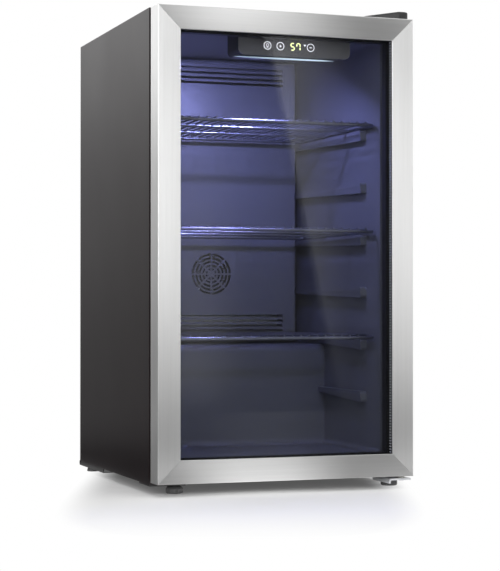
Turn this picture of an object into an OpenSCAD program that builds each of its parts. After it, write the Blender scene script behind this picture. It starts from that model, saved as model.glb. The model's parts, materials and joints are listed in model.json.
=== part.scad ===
// Free-standing glass-door beverage fridge: a foamed steel cabinet with a moulded liner, a
// mitred stainless door with an insulated glass unit, wire shelves on moulded ribs, a
// fan-cooled evaporator behind a louvred cover and an open compressor bay at the back.
// Millimetres. +Z is up, the door faces -Y, and the origin is on the floor under the middle.

/* [Cabinet] */
// Width of the cabinet and of the door
cab_w = 445; // [430:1:480]
// Depth of the cabinet without its door
cab_d = 453; // [435:1:500]
// Height of the cabinet, feet left out
cab_h = 770; // [750:1:820]
// Thickness of the painted steel sheets
sheet_t = 1; // [0.8:0.1:1.4]
// Width of the folded steel rim along the cabinet's front, top and bottom
front_fold = 22; // [18:1:22]
// Width of the folded steel rim along the cabinet's front, left and right
side_fold = 30; // [26:1:31]
// Width of the folded rim at the cabinet's back
back_fold = 12; // [8:1:16]
// Side wall, from the outside to the food space
side_wall = 38; // [34:1:42]
// Top wall, from the outside to the food space
top_wall = 24; // [24:1:30]
// Bottom wall, from the outside to the food space
bottom_wall = 37; // [34:1:44]
// Back wall, from the outside to the food space
back_wall = 58; // [52:1:64]

/* [Liner] */
// Thickness of the moulded liner
liner_t = 2; // [1.5:0.1:3]
// Radius of the liner's inside corners
liner_r = 12; // [6:1:18]
// Height of the step over the compressor bay
hump_h = 181; // [176:1:186]
// Depth of the step over the compressor bay
hump_d = 145; // [140:1:150]
// Insulation between the step and the compressor bay
hump_wall = 40; // [36:1:42]
// Number of shelf ribs on each side wall
rib_count = 6; // [5:1:6]
// Height between one rib and the next
rib_pitch = 90; // [84:1:92]
// Top of the lowest rib above the food space's floor
rib_first = 104; // [100:1:110]
// Height of a rib at its front end
rib_h = 19; // [14:1:22]
// Height of a rib at its back end
rib_back_h = 9; // [6:1:12]
// How far a rib stands out of the wall
rib_reach = 12; // [10:1:14]
// Distance of the ribs' front ends from the cabinet's front
rib_setback = 58; // [50:1:70]

/* [Door] */
// Thickness of the door
door_t = 40; // [38:1:44]
// How far the door's upper edge stays below the cabinet's top
door_drop = 2; // [1:0.5:6]
// Height of the door's lower edge above the cabinet's lower edge
door_lift = 4; // [4:1:6]
// Gap between door and cabinet that the seal fills
seal_gap = 10; // [9:0.5:12]
// Visible width of the stainless rails and stiles
rail_w = 38; // [36:1:42]
// Thickness of the stainless trim
trim_t = 1; // [0.8:0.1:1.2]
// Radius of the trim's outer edge
trim_r = 2.5; // [1.5:0.5:4]
// Width of the slope that leads from the trim down to the glass
trim_slope = 1.5; // [1:0.5:5]
// Width of the trim's folded lip at the back of the door
trim_lip = 8; // [6:1:9]
// Open joint at each mitre
mitre_gap = 0.2; // [0.1:0.1:0.4]

/* [Glass unit] */
// Thickness of each pane
pane_t = 4; // [3:0.5:4]
// Sealed gap between the panes
pane_gap = 12; // [10:1:12]
// Front of the outer pane behind the door's front
pane_setback = 5; // [4.5:0.5:6]
// Edge of the panes inside the door's edge
pane_inset = 20; // [19:1:22]
// Outer edge of the spacer bar inside the door's edge
spacer_inset = 27; // [25:1:28]
// Width of the spacer bar
spacer_w = 7; // [6:1:8]

/* [Door seal] */
// Width of the seal
seal_w = 16; // [14:1:18]
// Seal's outer edge inside the door's side edges
seal_inset_x = 14; // [14:1:16]
// Seal's outer edge inside the door's top and bottom edges
seal_inset_z = 8; // [8:1:10]
// Wall of the seal's hollow bulb
seal_wall = 1; // [0.8:0.1:1.4]
// Width of the magnet strip
magnet_w = 8; // [6:1:9]
// Thickness of the magnet strip
magnet_t = 3; // [2:0.5:3.5]
// Width of the dart that holds the seal in its groove
dart_w = 4; // [3:0.5:5]
// Depth of the dart
dart_h = 5; // [4:0.5:6]

/* [Hinges] */
// Hinge axis inside the door's side edge
pivot_inset = 13; // [12.5:0.5:14]
// Hinge axis behind the door's front
pivot_back = 22; // [20:1:23]
// Radius of the hinge pins
pin_r = 4; // [3:0.5:4.5]
// Reach of each pin into the door
pin_reach = 14; // [10:1:16]
// Wall of the door's bushes
bush_wall = 2.9; // [2:0.1:3]
// Thickness of the hinge plates
plate_t = 3; // [2.5:0.5:4]
// Height of the top hinge's cover over the pin
cover_h = 12; // [11:1:18]
// Height of the cover's low end
cover_low = 7; // [7:0.5:11]
// Width of the bottom hinge's arm
arm_w = 40; // [34:1:44]
// Height of the arm's bent-down lip
arm_lip = 5; // [3:1:8]

/* [Shelves] */
// Radius of the shelves' frame wire
frame_wire_r = 3; // [2.5:0.5:3.5]
// Radius of the shelves' cross wires
cross_wire_r = 1.6; // [1.4:0.1:2]
// Distance of a shelf's front from the cabinet's front
shelf_setback = 8; // [6:1:20]
// Depth of a shelf
shelf_d = 325; // [300:1:330]
// Overlap of a shelf on each rib
shelf_bearing = 8.5; // [7:0.5:10]
// Number of front-to-back wires in a shelf
shelf_wires = 23; // [17:1:25]

/* [Control box] */
// Width of the control box
ctrl_w = 200; // [180:1:210]
// Height of the control box
ctrl_h = 42; // [38:1:46]
// Depth of the control box
ctrl_d = 55; // [50:1:60]
// Sideways offset of the control box from the middle
ctrl_x = 33.5; // [0:0.5:40]
// Distance of the control box from the cabinet's front
ctrl_setback = 10; // [8:1:14]
// Wall of the control box
ctrl_wall = 2; // [1.5:0.5:3]
// Radius of its lower corners
ctrl_r = 10; // [6:1:14]
// Length of the light bar
light_l = 180; // [150:1:184]
// Height of the light bar below the control box
light_h = 4; // [3:0.5:6]

/* [Cooling] */
// Gap between the evaporator cover and each side wall
evap_gap = 19.5; // [15:0.5:30]
// Depth of the evaporator cover
evap_d = 45; // [42:1:48]
// Wall of the evaporator cover
evap_wall = 2; // [1.5:0.5:2.5]
// Side of the square fan frame
fan_size = 80; // [70:1:92]
// Depth of the fan frame
fan_d = 25; // [22:1:27]
// Height of the fan's axis above the food space's floor
fan_rise = 310; // [290:1:330]
// Radius of the refrigerant tubes
tube_r = 3; // [2.5:0.5:3.5]
// Radius of the compressor's pot
pot_r = 60; // [54:1:62]
// Height of the compressor's pot
pot_h = 142; // [130:1:144]
// Sideways place of the compressor
pot_x = 40; // [20:1:50]
// How far the compressor plate's rolled lip reaches behind the cabinet
lip_reach = 9; // [8:1:12]
// Thickness of the compressor plate
base_t = 1.5; // [1.2:0.1:2]
// Height of the compressor plate above the floor
base_rise = 9; // [8:0.5:10]

/* [Feet] */
// Height of the cabinet above the floor
foot_h = 16.5; // [15:0.5:24]
// Radius of the front feet
foot_r = 14; // [11:1:15]
// Radius of the feet's threaded stems
stem_r = 4; // [3:0.5:5]
// Distance of the left front foot from the cabinet's side
foot_inset = 47; // [40:1:55]
// Distance of the right front foot from the cabinet's side
foot_inset_hinge = 16; // [15:1:20]
// Distance of the front feet behind the cabinet's front
foot_back = 14; // [14:1:20]

/* [Hidden] */
$fn = 48;

// Clearances
run = 0.08;   // pins and stems in their holes, on the radius
clear = 0.3;  // faces of pieces that move past each other
fit = 0.2;    // pieces that drop into place

// Planes from front to back
front_y = -(door_t + seal_gap + cab_d + lip_reach) / 2;
door_back_y = front_y + door_t;
cab_front_y = door_back_y + seal_gap;
cab_back_y = cab_front_y + cab_d;
rear_y = cab_back_y + lip_reach;
in_back_y = cab_back_y - back_wall;
hump_front_y = in_back_y - hump_d;
bay_front_y = hump_front_y + hump_wall;
evap_front_y = in_back_y - evap_d;

// Planes from bottom to top
cab_bot_z = foot_h;
cab_top_z = cab_bot_z + cab_h;
in_floor_z = cab_bot_z + bottom_wall;
in_top_z = cab_top_z - top_wall;
hump_top_z = in_floor_z + hump_h;
bay_top_z = hump_top_z - hump_wall;
door_bot_z = cab_bot_z + door_lift;
door_top_z = cab_top_z - door_drop;
door_h = door_top_z - door_bot_z;

// Planes from the middle to the side
half_w = cab_w / 2;
in_x = half_w - side_wall;
evap_w = 2 * (in_x - evap_gap);

// Hinge axis
pivot_x = half_w - pivot_inset;
pivot_y = front_y + pivot_back;
bush_r = pin_r + run + bush_wall;
flange_t = 1.5;

// ---------- shared geometry ----------

function unit(v) = v / norm(v);

// Points that round corner b of the path a-b-c with radius r
function corner_arc(a, b, c, r, n) =
    let (u = unit(a - b), w = unit(c - b),
         half = acos(u * w) / 2,
         centre = b + unit(u + w) * (r / sin(half)),
         v0 = b + u * (r / tan(half)) - centre,
         v1 = b + w * (r / tan(half)) - centre,
         a0 = atan2(v0.y, v0.x),
         sweep = atan2(v0.x * v1.y - v0.y * v1.x, v0 * v1))
    [for (i = [0:n]) centre + r * [cos(a0 + sweep * i / n), sin(a0 + sweep * i / n)]];

// Outline p with corner radii r
function rounded(p, r, n = 5) =
    [for (i = [0:len(p) - 1])
        each (r[i] == 0 ? [p[i]]
            : corner_arc(p[(i + len(p) - 1) % len(p)], p[i], p[(i + 1) % len(p)], r[i], n))];

function rect(x0, y0, x1, y1) = [[x0, y0], [x1, y0], [x1, y1], [x0, y1]];

// Box from its lowest to its highest corner
module box(lo, hi) {
    translate(lo) cube(hi - lo);
}

// An outline given as [x, z], from depth y0 to y1
module along_y(y0, y1) {
    translate([0, y1, 0]) rotate([90, 0, 0]) linear_extrude(y1 - y0) children();
}

// An outline given as [y, z], from x0 to x1
module along_x(x0, x1) {
    translate([x0, 0, 0]) rotate([90, 0, 90]) linear_extrude(x1 - x0) children();
}

// A round rod from point a to point b
module rod(a, b, r) {
    d = b - a;
    translate(a) rotate([0, acos(d.z / norm(d)), atan2(d.y, d.x)]) cylinder(r = r, h = norm(d));
}

// A round tube of radius r along points p, bent with radius bend at each inner point
module pipe(p, r, bend) {
    last = len(p) - 1;
    dir = [for (i = [0:last - 1]) unit(p[i + 1] - p[i])];
    turn = [for (i = [1:last - 1]) acos(dir[i - 1] * dir[i])];
    cut = [0, for (i = [1:last - 1]) bend * tan(turn[i - 1] / 2), 0];
    for (i = [0:last - 1])
        rod(p[i] + dir[i] * cut[i], p[i + 1] - dir[i] * cut[i + 1], r);
    for (i = [1:last - 1])
        elbow(p[i], dir[i - 1], dir[i], turn[i - 1], r, bend);
}

// A bend of a round tube at corner c, from direction a to direction b
module elbow(c, a, b, angle, r, bend) {
    start = c - a * bend * tan(angle / 2);
    inward = unit(b - a * (a * b));
    centre = start + inward * bend;
    x = -inward;
    z = cross(x, a);
    multmatrix([[x.x, a.x, z.x, centre.x],
                [x.y, a.y, z.y, centre.y],
                [x.z, a.z, z.z, centre.z],
                [0, 0, 0, 1]])
        rotate_extrude(angle = angle) translate([bend, 0]) circle(r = r);
}

// ---------- cabinet shell ----------

module side_panel() {
    difference() {
        union() {
            box([-half_w, cab_front_y, cab_bot_z], [-half_w + sheet_t, cab_back_y, cab_top_z]);
            box([-half_w, cab_front_y, cab_bot_z],
                [-half_w + side_fold, cab_front_y + sheet_t, cab_top_z]);
            box([-half_w, cab_back_y - sheet_t, cab_bot_z],
                [-half_w + back_fold, cab_back_y, cab_top_z]);
        }
        back_screw_places(-1) rotate([-90, 0, 0])
            translate([0, 0, -5]) cylinder(r = screw_r + run, h = 10);
    }
}

module left_side_panel() {
    color("#2e2a2b") side_panel();
}

module right_side_panel() {
    color("#2e2a2b") mirror([1, 0, 0]) side_panel();
}

module top_panel() {
    side = half_w - sheet_t;
    color("#2e2a2b") difference() {
        union() {
            box([-side, cab_front_y + sheet_t, cab_top_z - sheet_t],
                [side, cab_back_y - sheet_t, cab_top_z]);
            box([-half_w + side_fold, cab_front_y, cab_top_z - front_fold],
                [half_w - side_fold, cab_front_y + sheet_t, cab_top_z]);
            box([-half_w + back_fold, cab_back_y - sheet_t, cab_top_z - back_fold],
                [half_w - back_fold, cab_back_y, cab_top_z]);
        }
        top_screw_places() translate([0, 0, -sheet_t - 1]) cylinder(r = screw_r + run, h = sheet_t + 2);
    }
}

rib_press_pitch = 90;  // between the pressed beads that stiffen the back sheet
module back_panel() {
    side = half_w - sheet_t;
    y = cab_back_y - 2 * sheet_t;
    bead_x = floor((side - 40) / rib_press_pitch) * rib_press_pitch;
    color("#232122") difference() {
        union() {
            box([-side, y, bay_top_z + sheet_t], [side, y + sheet_t, cab_top_z - sheet_t]);
            for (x = [-bead_x:rib_press_pitch:bead_x])
                translate([x, 0, 0]) along_z_bead(y + sheet_t);
        }
        for (s = [-1, 1])
            back_screw_places(s) rotate([-90, 0, 0])
                translate([0, 0, -5]) cylinder(r = screw_r + run, h = 10);
    }
}

bead_w = 14;
bead_h = 1.5;
module along_z_bead(y) {
    sunk = sheet_t / 2;
    translate([0, 0, bay_top_z + 50]) linear_extrude(cab_top_z - bay_top_z - 90)
        polygon([[-bead_w / 2, y - sunk], [bead_w / 2, y - sunk], [bead_w / 2, y],
                 [bead_w / 2 - 3, y + bead_h], [-bead_w / 2 + 3, y + bead_h], [-bead_w / 2, y]]);
}

module bottom_panel() {
    side = half_w - sheet_t;
    color("#3a3838") difference() {
        union() {
            box([-side, cab_front_y + sheet_t, cab_bot_z],
                [side, bay_front_y - sheet_t, cab_bot_z + sheet_t]);
            box([-half_w + side_fold, cab_front_y, cab_bot_z],
                [half_w - side_fold, cab_front_y + sheet_t, cab_bot_z + front_fold]);
        }
        foot_places(0) cylinder(r = stem_r + 1, h = 20, center = true);
        bottom_screw_places() cylinder(r = screw_r + run, h = 20, center = true);
    }
}

// The stepped sheet that closes the foam towards the compressor bay
module compartment_panel() {
    side = half_w - sheet_t;
    color("#8c8e90") difference() {
        union() {
            box([-side, bay_front_y - sheet_t, bay_top_z],
                [side, cab_back_y - sheet_t, bay_top_z + sheet_t]);
            box([-side, bay_front_y - sheet_t, cab_bot_z],
                [side, bay_front_y, bay_top_z + sheet_t]);
        }
        line_holes(bay_top_z - 5, bay_top_z + 5);
    }
}

// ---------- liner and foam ----------

// The food space, grown by g through its closed sides; it runs out through the front
module food_space(g) {
    reach = 5;
    x = in_x + g;
    intersection() {
        along_x(-x, x) polygon(rounded(
            [[cab_front_y - reach, in_floor_z - g], [hump_front_y + g, in_floor_z - g],
             [hump_front_y + g, hump_top_z - g], [in_back_y + g, hump_top_z - g],
             [in_back_y + g, in_top_z + g], [cab_front_y - reach, in_top_z + g]],
            [0, liner_r + g, liner_r - g, liner_r + g, liner_r + g, 0]));
        along_y(cab_front_y - reach, in_back_y + g + 1) polygon(rounded(
            rect(-x, in_floor_z - g, x, in_top_z + g), [for (i = [0:3]) liner_r + g]));
    }
}

function rib_z(i) = in_floor_z + rib_first + i * rib_pitch;

// A moulded shelf rib on the right wall, with its top at z, tapering towards the back
module shelf_rib(z) {
    back = z - rib_h < hump_top_z ? hump_front_y + 1 : in_back_y + 1;
    front = cab_front_y + rib_setback;
    nose = 5;
    intersection() {
        along_y(front, back) polygon(
            [[in_x - rib_reach, z], [in_x + 1, z], [in_x + 1, z - rib_h - 1],
             [in_x - rib_reach + 2, z - rib_h - 1], [in_x - rib_reach, z - rib_back_h + 3]]);
        along_x(in_x - rib_reach - 1, in_x + 2) polygon(rounded(
            [[front, z - rib_h], [back, z - rib_back_h], [back, z], [front, z]],
            [nose, 0, 0, nose]));
    }
}

module inner_liner() {
    color("#9aa0ad") difference() {
        union() {
            difference() {
                union() {
                    intersection() {
                        food_space(liner_t);
                        box([-half_w, cab_front_y, cab_bot_z], [half_w, cab_back_y, cab_top_z]);
                    }
                    box([-half_w + side_fold, cab_front_y, cab_bot_z + front_fold],
                        [half_w - side_fold, cab_front_y + sheet_t, cab_top_z - front_fold]);
                }
                food_space(0);
            }
            for (i = [0:rib_count - 1]) {
                shelf_rib(rib_z(i));
                mirror([1, 0, 0]) shelf_rib(rib_z(i));
            }
        }
        line_holes(hump_top_z - 10, hump_top_z + 1);
        translate([drain_x, drain_y, hump_top_z - 10]) cylinder(r = drain_r, h = 12);
    }
}

module foam_insulation() {
    side = half_w - sheet_t;
    color("#e6dcb4") difference() {
        box([-side, cab_front_y + sheet_t, cab_bot_z + sheet_t],
            [side, cab_back_y - 2 * sheet_t, cab_top_z - sheet_t]);
        food_space(liner_t);
        box([-half_w, bay_front_y - sheet_t, cab_bot_z],
            [half_w, cab_back_y, bay_top_z + sheet_t]);
        line_holes(bay_top_z, hump_top_z);
        translate([drain_x, drain_y, bay_top_z]) cylinder(r = drain_r, h = hump_wall + 2);
        pipe(coil_path, coil_r, coil_bend);
        foot_places(0) cylinder(r = stem_r + 1, h = 30);
        bottom_screw_places() cylinder(r = screw_r + run, h = 14);
        top_screw_places() translate([0, 0, -12]) cylinder(r = screw_r + run, h = 13);
        for (s = [-1, 1])
            back_screw_places(s) rotate([90, 0, 0]) cylinder(r = screw_r + run, h = 12);
    }
}

// ---------- screws ----------

screw_r = 2;
head_r = 4;
head_h = 2.4;

// A pan-head screw whose head rests on z = 0 and whose shank goes down
module screw(l) {
    difference() {
        union() {
            translate([0, 0, -l]) cylinder(r = screw_r, h = l);
            rotate_extrude() polygon([[0, 0], [head_r, 0], [head_r, head_h * 0.5],
                [head_r * 0.75, head_h * 0.9], [head_r * 0.4, head_h], [0, head_h]]);
        }
        for (a = [0, 90])
            rotate([0, 0, a]) translate([-head_r * 0.55, -0.5, head_h - 1.2])
                cube([head_r * 1.1, 1, 2]);
    }
}

back_screws = 4;
module back_screw_places(s) {
    span = cab_top_z - bay_top_z - 80;
    for (i = [0:back_screws - 1])
        translate([s * (half_w - back_fold / 2), cab_back_y, bay_top_z + 40 + span * i / (back_screws - 1)])
            children();
}

module back_panel_screws() {
    color("#b9bcc0") for (s = [-1, 1])
        back_screw_places(s) rotate([-90, 0, 0]) screw(8);
}

// Screws that hold the top hinge plate, at the height of the cabinet's top
top_plate_w = 62;
top_plate_back = 60;
module top_screw_places() {
    for (p = [[-12, 14], [-46, 14], [-29, 44]])
        translate([half_w - 4 + p.x, cab_front_y + p.y, cab_top_z]) children();
}

module top_hinge_screws() {
    color("#b9bcc0") top_screw_places() translate([0, 0, plate_t]) screw(plate_t + 7);
}

// Screws that hold the bottom plates, at the height of the cabinet's bottom
bottom_plate_back = 60;
module bottom_screw_places() {
    for (s = [-1, 1], p = [[-14, 36], [-34, 46]])
        translate([s * (half_w - 1 + p.x), cab_front_y + p.y, cab_bot_z]) children();
}

module bottom_hinge_screws() {
    color("#b9bcc0") bottom_screw_places()
        translate([0, 0, -plate_t]) rotate([180, 0, 0]) screw(plate_t + 8);
}

// ---------- feet ----------

// Front feet at the height h above the cabinet's bottom: left, then right
module foot_places(h, which = [0, 1]) {
    for (i = which)
        translate([[-half_w + foot_inset, half_w - foot_inset_hinge][i],
                   cab_front_y + foot_back, cab_bot_z + h]) children();
}

foot_pad_h = foot_h - plate_t - 0.5;
foot_stem_l = 22;
module front_foot() {
    translate([0, 0, -foot_h]) difference() {
        union() {
            rotate_extrude() polygon([[0, 0], [foot_r - 1.5, 0], [foot_r, 1.5], [foot_r, foot_pad_h - 5],
                [foot_r - 2.5, foot_pad_h - 2], [stem_r + 3, foot_pad_h], [0, foot_pad_h]]);
            cylinder(r = stem_r, h = foot_pad_h + foot_stem_l);
        }
        for (a = [0:30:330])
            rotate([0, 0, a]) translate([foot_r + 0.6, 0, 3]) cylinder(r = 1.4, h = foot_pad_h);
    }
}

module left_front_foot() {
    color("#1b1b1c") foot_places(0, [0]) front_foot();
}

module right_front_foot() {
    color("#1b1b1c") foot_places(0, [1]) front_foot();
}

module left_foot_plate() {
    x0 = -half_w + 1;
    color("#c3c6ca") difference() {
        box([x0, cab_front_y + fit, cab_bot_z - plate_t],
            [x0 + foot_inset + foot_r, cab_front_y + bottom_plate_back, cab_bot_z]);
        foot_places(0, [0]) cylinder(r = stem_r + run, h = 20, center = true);
        bottom_screw_places() cylinder(r = screw_r + run, h = 20, center = true);
    }
}

rear_foot_r = 11;
rear_foot_inset = 17;
rear_foot_back = 30;
module rear_foot_places() {
    for (s = [-1, 1])
        translate([s * (half_w - rear_foot_inset), cab_back_y - rear_foot_back, 0]) children();
}

module rear_feet() {
    color("#1b1b1c") rear_foot_places() {
        rotate_extrude() polygon([[0, 0], [rear_foot_r - 1, 0], [rear_foot_r, 1],
            [rear_foot_r - 1.5, base_rise], [0, base_rise]]);
        translate([0, 0, base_rise]) cylinder(r = 3, h = base_t);
        translate([0, 0, base_rise + base_t])
            rotate_extrude() polygon([[0, 0], [5, 0], [3, 4], [0, 4]]);
    }
}

// ---------- hinges ----------

plate_z = cab_top_z;
module top_hinge_bracket() {
    x1 = half_w - 4;
    nose = pivot_inset - 5;
    color("#9a9da1") difference() {
        translate([0, 0, plate_z]) linear_extrude(plate_t) union() {
            polygon(rounded([[x1, pivot_y], [x1, cab_front_y + top_plate_back],
                [x1 - top_plate_w, cab_front_y + top_plate_back],
                [x1 - top_plate_w, cab_front_y + 4], [pivot_x - nose, pivot_y]],
                [0, 4, 6, 8, 0]));
            translate([pivot_x, pivot_y]) circle(r = nose);
        }
        translate([pivot_x, pivot_y, plate_z]) cylinder(r = pin_r, h = 20, center = true);
        top_screw_places() cylinder(r = screw_r + run, h = 20, center = true);
    }
}

module top_hinge_pin() {
    z0 = door_top_z - pin_reach;
    color("#b9bcc0") translate([pivot_x, pivot_y, 0]) {
        translate([0, 0, z0]) rotate_extrude() polygon([[0, 0], [pin_r - 1, 0], [pin_r, 1],
            [pin_r, plate_z + plate_t - z0], [0, plate_z + plate_t - z0]]);
        translate([0, 0, plate_z + plate_t]) cylinder(r = pin_r + 1.5, h = 1.5);
    }
}

// Outline of the hinge cover, drawn in by g
function cover_outline(g) =
    let (x1 = half_w - 2 - g, x0 = x1 - top_plate_w - 6 + 2 * g,
         y0 = pivot_y - pivot_inset + 3 + g, y1 = cab_front_y + top_plate_back + 4 - g)
    rounded([[x1, y0], [x1, y1], [x0, y1], [x0, cab_front_y - 4 + g], [pivot_x - 5, y0]],
            [7 - g / 2, 5, 8, 12, 9 - g / 2], 6);

// The wedge that rises from the cover's low end to the pin, drawn in by g
module cover_block(g, base) {
    x0 = half_w - 2 - top_plate_w - 6;
    top = cab_top_z + cover_h - g;
    intersection() {
        translate([0, 0, base]) linear_extrude(top - base + 1) polygon(cover_outline(g));
        along_y(front_y, cab_front_y + top_plate_back + 10) polygon(rounded(
            [[x0 - 1, base - 1], [x0 - 1, cab_top_z + cover_low - g], [pivot_x - 8, top],
             [half_w - 2 - g, top], [half_w - 2 - g, base - 1]],
            [0, 0, 20, 3, 0], 4));
    }
}

module top_hinge_cover() {
    wall = 1.8;
    color("#1b1b1d") difference() {
        cover_block(0, cab_top_z);
        cover_block(wall, cab_top_z - 1);
    }
}

module bottom_hinge_bracket() {
    x1 = half_w - 1;
    x0 = x1 - arm_w;
    top = cab_bot_z;
    bot = cab_bot_z - plate_t;
    y0 = front_y + 8;
    r = plate_t + 1.5;
    color("#d9dbde") difference() {
        union() {
            // the arm under the door, bent down along its inner edge
            along_y(y0, cab_front_y + 26) polygon(concat(
                [[x1, top]], corner_arc([x1, top], [x0, top], [x0, bot], r, 5),
                [[x0, bot - arm_lip], [x0 + plate_t, bot - arm_lip]],
                corner_arc([x0 + plate_t, bot - arm_lip], [x0 + plate_t, bot], [x1, bot], r - plate_t, 3),
                [[x1, bot]]));
            box([x0 + 5, cab_front_y + 20, bot], [x1, cab_front_y + bottom_plate_back, top]);
        }
        translate([pivot_x, pivot_y, bot]) cylinder(r = pin_r, h = 20, center = true);
        foot_places(0, [1]) cylinder(r = stem_r + run, h = 20, center = true);
        bottom_screw_places() cylinder(r = screw_r + run, h = 20, center = true);
    }
}

module bottom_hinge_pin() {
    z1 = door_bot_z + pin_reach;
    color("#d9dbde") translate([pivot_x, pivot_y, cab_bot_z - plate_t])
        rotate_extrude() polygon([[0, -1.5], [pin_r + 1.5, -1.5], [pin_r + 1.5, 0], [pin_r, 0],
            [pin_r, z1 - cab_bot_z + plate_t - 1], [pin_r - 1, z1 - cab_bot_z + plate_t],
            [0, z1 - cab_bot_z + plate_t]]);
}

module hinge_washer() {
    color("#e9e9e6") translate([pivot_x, pivot_y, cab_bot_z]) difference() {
        cylinder(r = bush_r - 1, h = door_lift - flange_t - clear);
        translate([0, 0, -1]) cylinder(r = pin_r + run, h = 10);
    }
}

// ---------- door ----------

// Trim section as [inset from the door's edge, depth behind its front]
function trim_section() =
    let (lip_end = pane_setback - 0.8, t = trim_t, b = door_t)
    concat(
        corner_arc([0, b], [0, 0], [rail_w, 0], trim_r, 5),
        [[rail_w - trim_slope, 0], [rail_w, lip_end - 0.6], [rail_w, lip_end], [rail_w - t, lip_end],
         [rail_w - trim_slope - t / 2, t]],
        corner_arc([rail_w, t], [t, t], [t, b], trim_r - t, 4),
        [[t, b - t], [trim_lip, b - t], [trim_lip, b], [0, b]]);

module mitred(side) {
    g = mitre_gap * 0.7;
    w = rail_w + 5;
    intersection() {
        children();
        along_y(front_y - 1, door_back_y + 1)
            if (side == "stile")
                polygon([[-half_w - 1, door_bot_z - 1 + g], [-half_w + w, door_bot_z + w + g],
                         [-half_w + w, door_top_z - w - g], [-half_w - 1, door_top_z + 1 - g]]);
            else
                polygon([[-half_w - 1 + g, door_bot_z - 1], [-half_w + w + g, door_bot_z + w],
                         [half_w - w - g, door_bot_z + w], [half_w + 1 - g, door_bot_z - 1]]);
    }
}

module stile() {
    mitred("stile") translate([-half_w, front_y, door_bot_z])
        linear_extrude(door_h) polygon(trim_section());
}

module rail() {
    mitred("rail") translate([0, front_y, door_bot_z])
        along_x(-half_w, half_w) polygon([for (p = trim_section()) [p.y, p.x]]);
}

module pivot_hole(r) {
    translate([pivot_x, pivot_y, door_bot_z - 5]) cylinder(r = r, h = door_h + 10);
}

module door_trim_left() {
    color("#c9cac8") stile();
}

module door_trim_right() {
    color("#c9cac8") mirror([1, 0, 0]) stile();
}

module door_trim_bottom() {
    color("#c9cac8") difference() {
        rail();
        pivot_hole(bush_r + fit);
    }
}

module door_trim_top() {
    color("#c9cac8") difference() {
        translate([0, 0, door_bot_z + door_top_z]) mirror([0, 0, 1]) rail();
        pivot_hole(bush_r + fit);
    }
}

// A rectangular ring between two insets from the door's edges, between two depths
module door_ring(out, in, d0, d1) {
    difference() {
        box([-half_w + out.x, front_y + d0, door_bot_z + out.y],
            [half_w - out.x, front_y + d1, door_top_z - out.y]);
        box([-half_w + in.x, front_y + d0 - 1, door_bot_z + in.y],
            [half_w - in.x, front_y + d1 + 1, door_top_z - in.y]);
    }
}

unit_back = pane_setback + 2 * pane_t + pane_gap;  // back of the glass unit behind the door's front
seal_mid = [seal_inset_x + seal_w / 2, seal_inset_z + seal_w / 2];

module door_inner_frame() {
    edge = trim_t + (trim_r - trim_t) * (1 - sqrt(0.5)) + 0.05;
    hold = pane_inset - fit;
    inner = rail_w + 1;
    color("#161617") difference() {
        union() {
            door_ring([edge, edge], [hold, hold], edge, door_t - trim_t);
            door_ring([trim_lip + fit, trim_lip + fit], [inner, inner], unit_back, door_t);
        }
        door_ring(seal_mid - [1, 1] * (dart_w / 2 + fit), seal_mid + [1, 1] * (dart_w / 2 + fit),
                  door_t - dart_h - fit, door_t + 1);
        for (z = [door_bot_z, door_top_z])
            translate([pivot_x, pivot_y, z]) cylinder(r = bush_r, h = 2 * bush_l, center = true);
    }
}

bush_l = pin_reach + 3;
module door_bushes() {
    color("#e9e9e6") for (top = [0, 1])
        translate([pivot_x, pivot_y, top ? door_top_z : door_bot_z]) mirror([0, 0, top ? 0 : 1])
            difference() {
                union() {
                    translate([0, 0, -bush_l]) cylinder(r = bush_r, h = bush_l + 0.5);
                    cylinder(r = bush_r + 2, h = flange_t);
                }
                translate([0, 0, -pin_reach - 1]) cylinder(r = pin_r + run, h = 30);
            }
}

module pane(d) {
    box([-half_w + pane_inset, front_y + d, door_bot_z + pane_inset],
        [half_w - pane_inset, front_y + d + pane_t, door_top_z - pane_inset]);
}

module outer_glass() {
    color([0.5, 0.55, 0.6, 0.35]) pane(pane_setback);
}

module inner_glass() {
    color([0.5, 0.55, 0.6, 0.35]) pane(pane_setback + pane_t + pane_gap);
}

module glass_spacer() {
    outer = spacer_inset;
    inner = spacer_inset + spacer_w;
    color("#9fa3a8")
        door_ring([outer, outer], [inner, inner], pane_setback + pane_t, pane_setback + pane_t + pane_gap);
}

// The compressible strip between the trim and the outer pane
module glazing_seal() {
    outer = pane_inset + 1;
    inner = rail_w - trim_slope - trim_t;
    color("#161617") door_ring([outer, outer], [inner, inner], trim_t, pane_setback);
}

seal_top = seal_gap - clear;   // height of the seal above the door's back
bulb_base = 2;
module door_gasket() {
    half = [1, 1] * seal_w / 2;
    bulb = half - [2, 2];
    hollow = bulb - [1, 1] * seal_wall;
    color("#3b3b3d") difference() {
        union() {
            door_ring(seal_mid - half, seal_mid + half, door_t, door_t + bulb_base);
            door_ring(seal_mid - bulb, seal_mid + bulb, door_t, door_t + seal_top);
            door_ring(seal_mid - [1, 1] * dart_w / 2, seal_mid + [1, 1] * dart_w / 2,
                      door_t - dart_h, door_t + 1);
        }
        door_ring(seal_mid - hollow, seal_mid + hollow,
                  door_t + bulb_base, door_t + seal_top - seal_wall);
    }
}

module gasket_magnets() {
    half = magnet_w / 2;
    back = door_t + seal_top - seal_wall;
    l = mitre_gap;
    color("#4a4a4c") difference() {
        door_ring(seal_mid - [half, half], seal_mid + [half, half], back - magnet_t, back);
        for (sx = [-1, 1], sz = [0, 1])
            translate([sx * (half_w - seal_mid.x), front_y + back,
                       sz ? door_top_z - seal_mid.y : door_bot_z + seal_mid.y])
                rotate([0, sx * (sz ? -45 : 45), 0]) cube([40, 20, 2 * l], center = true);
    }
}

// ---------- shelves ----------

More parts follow.
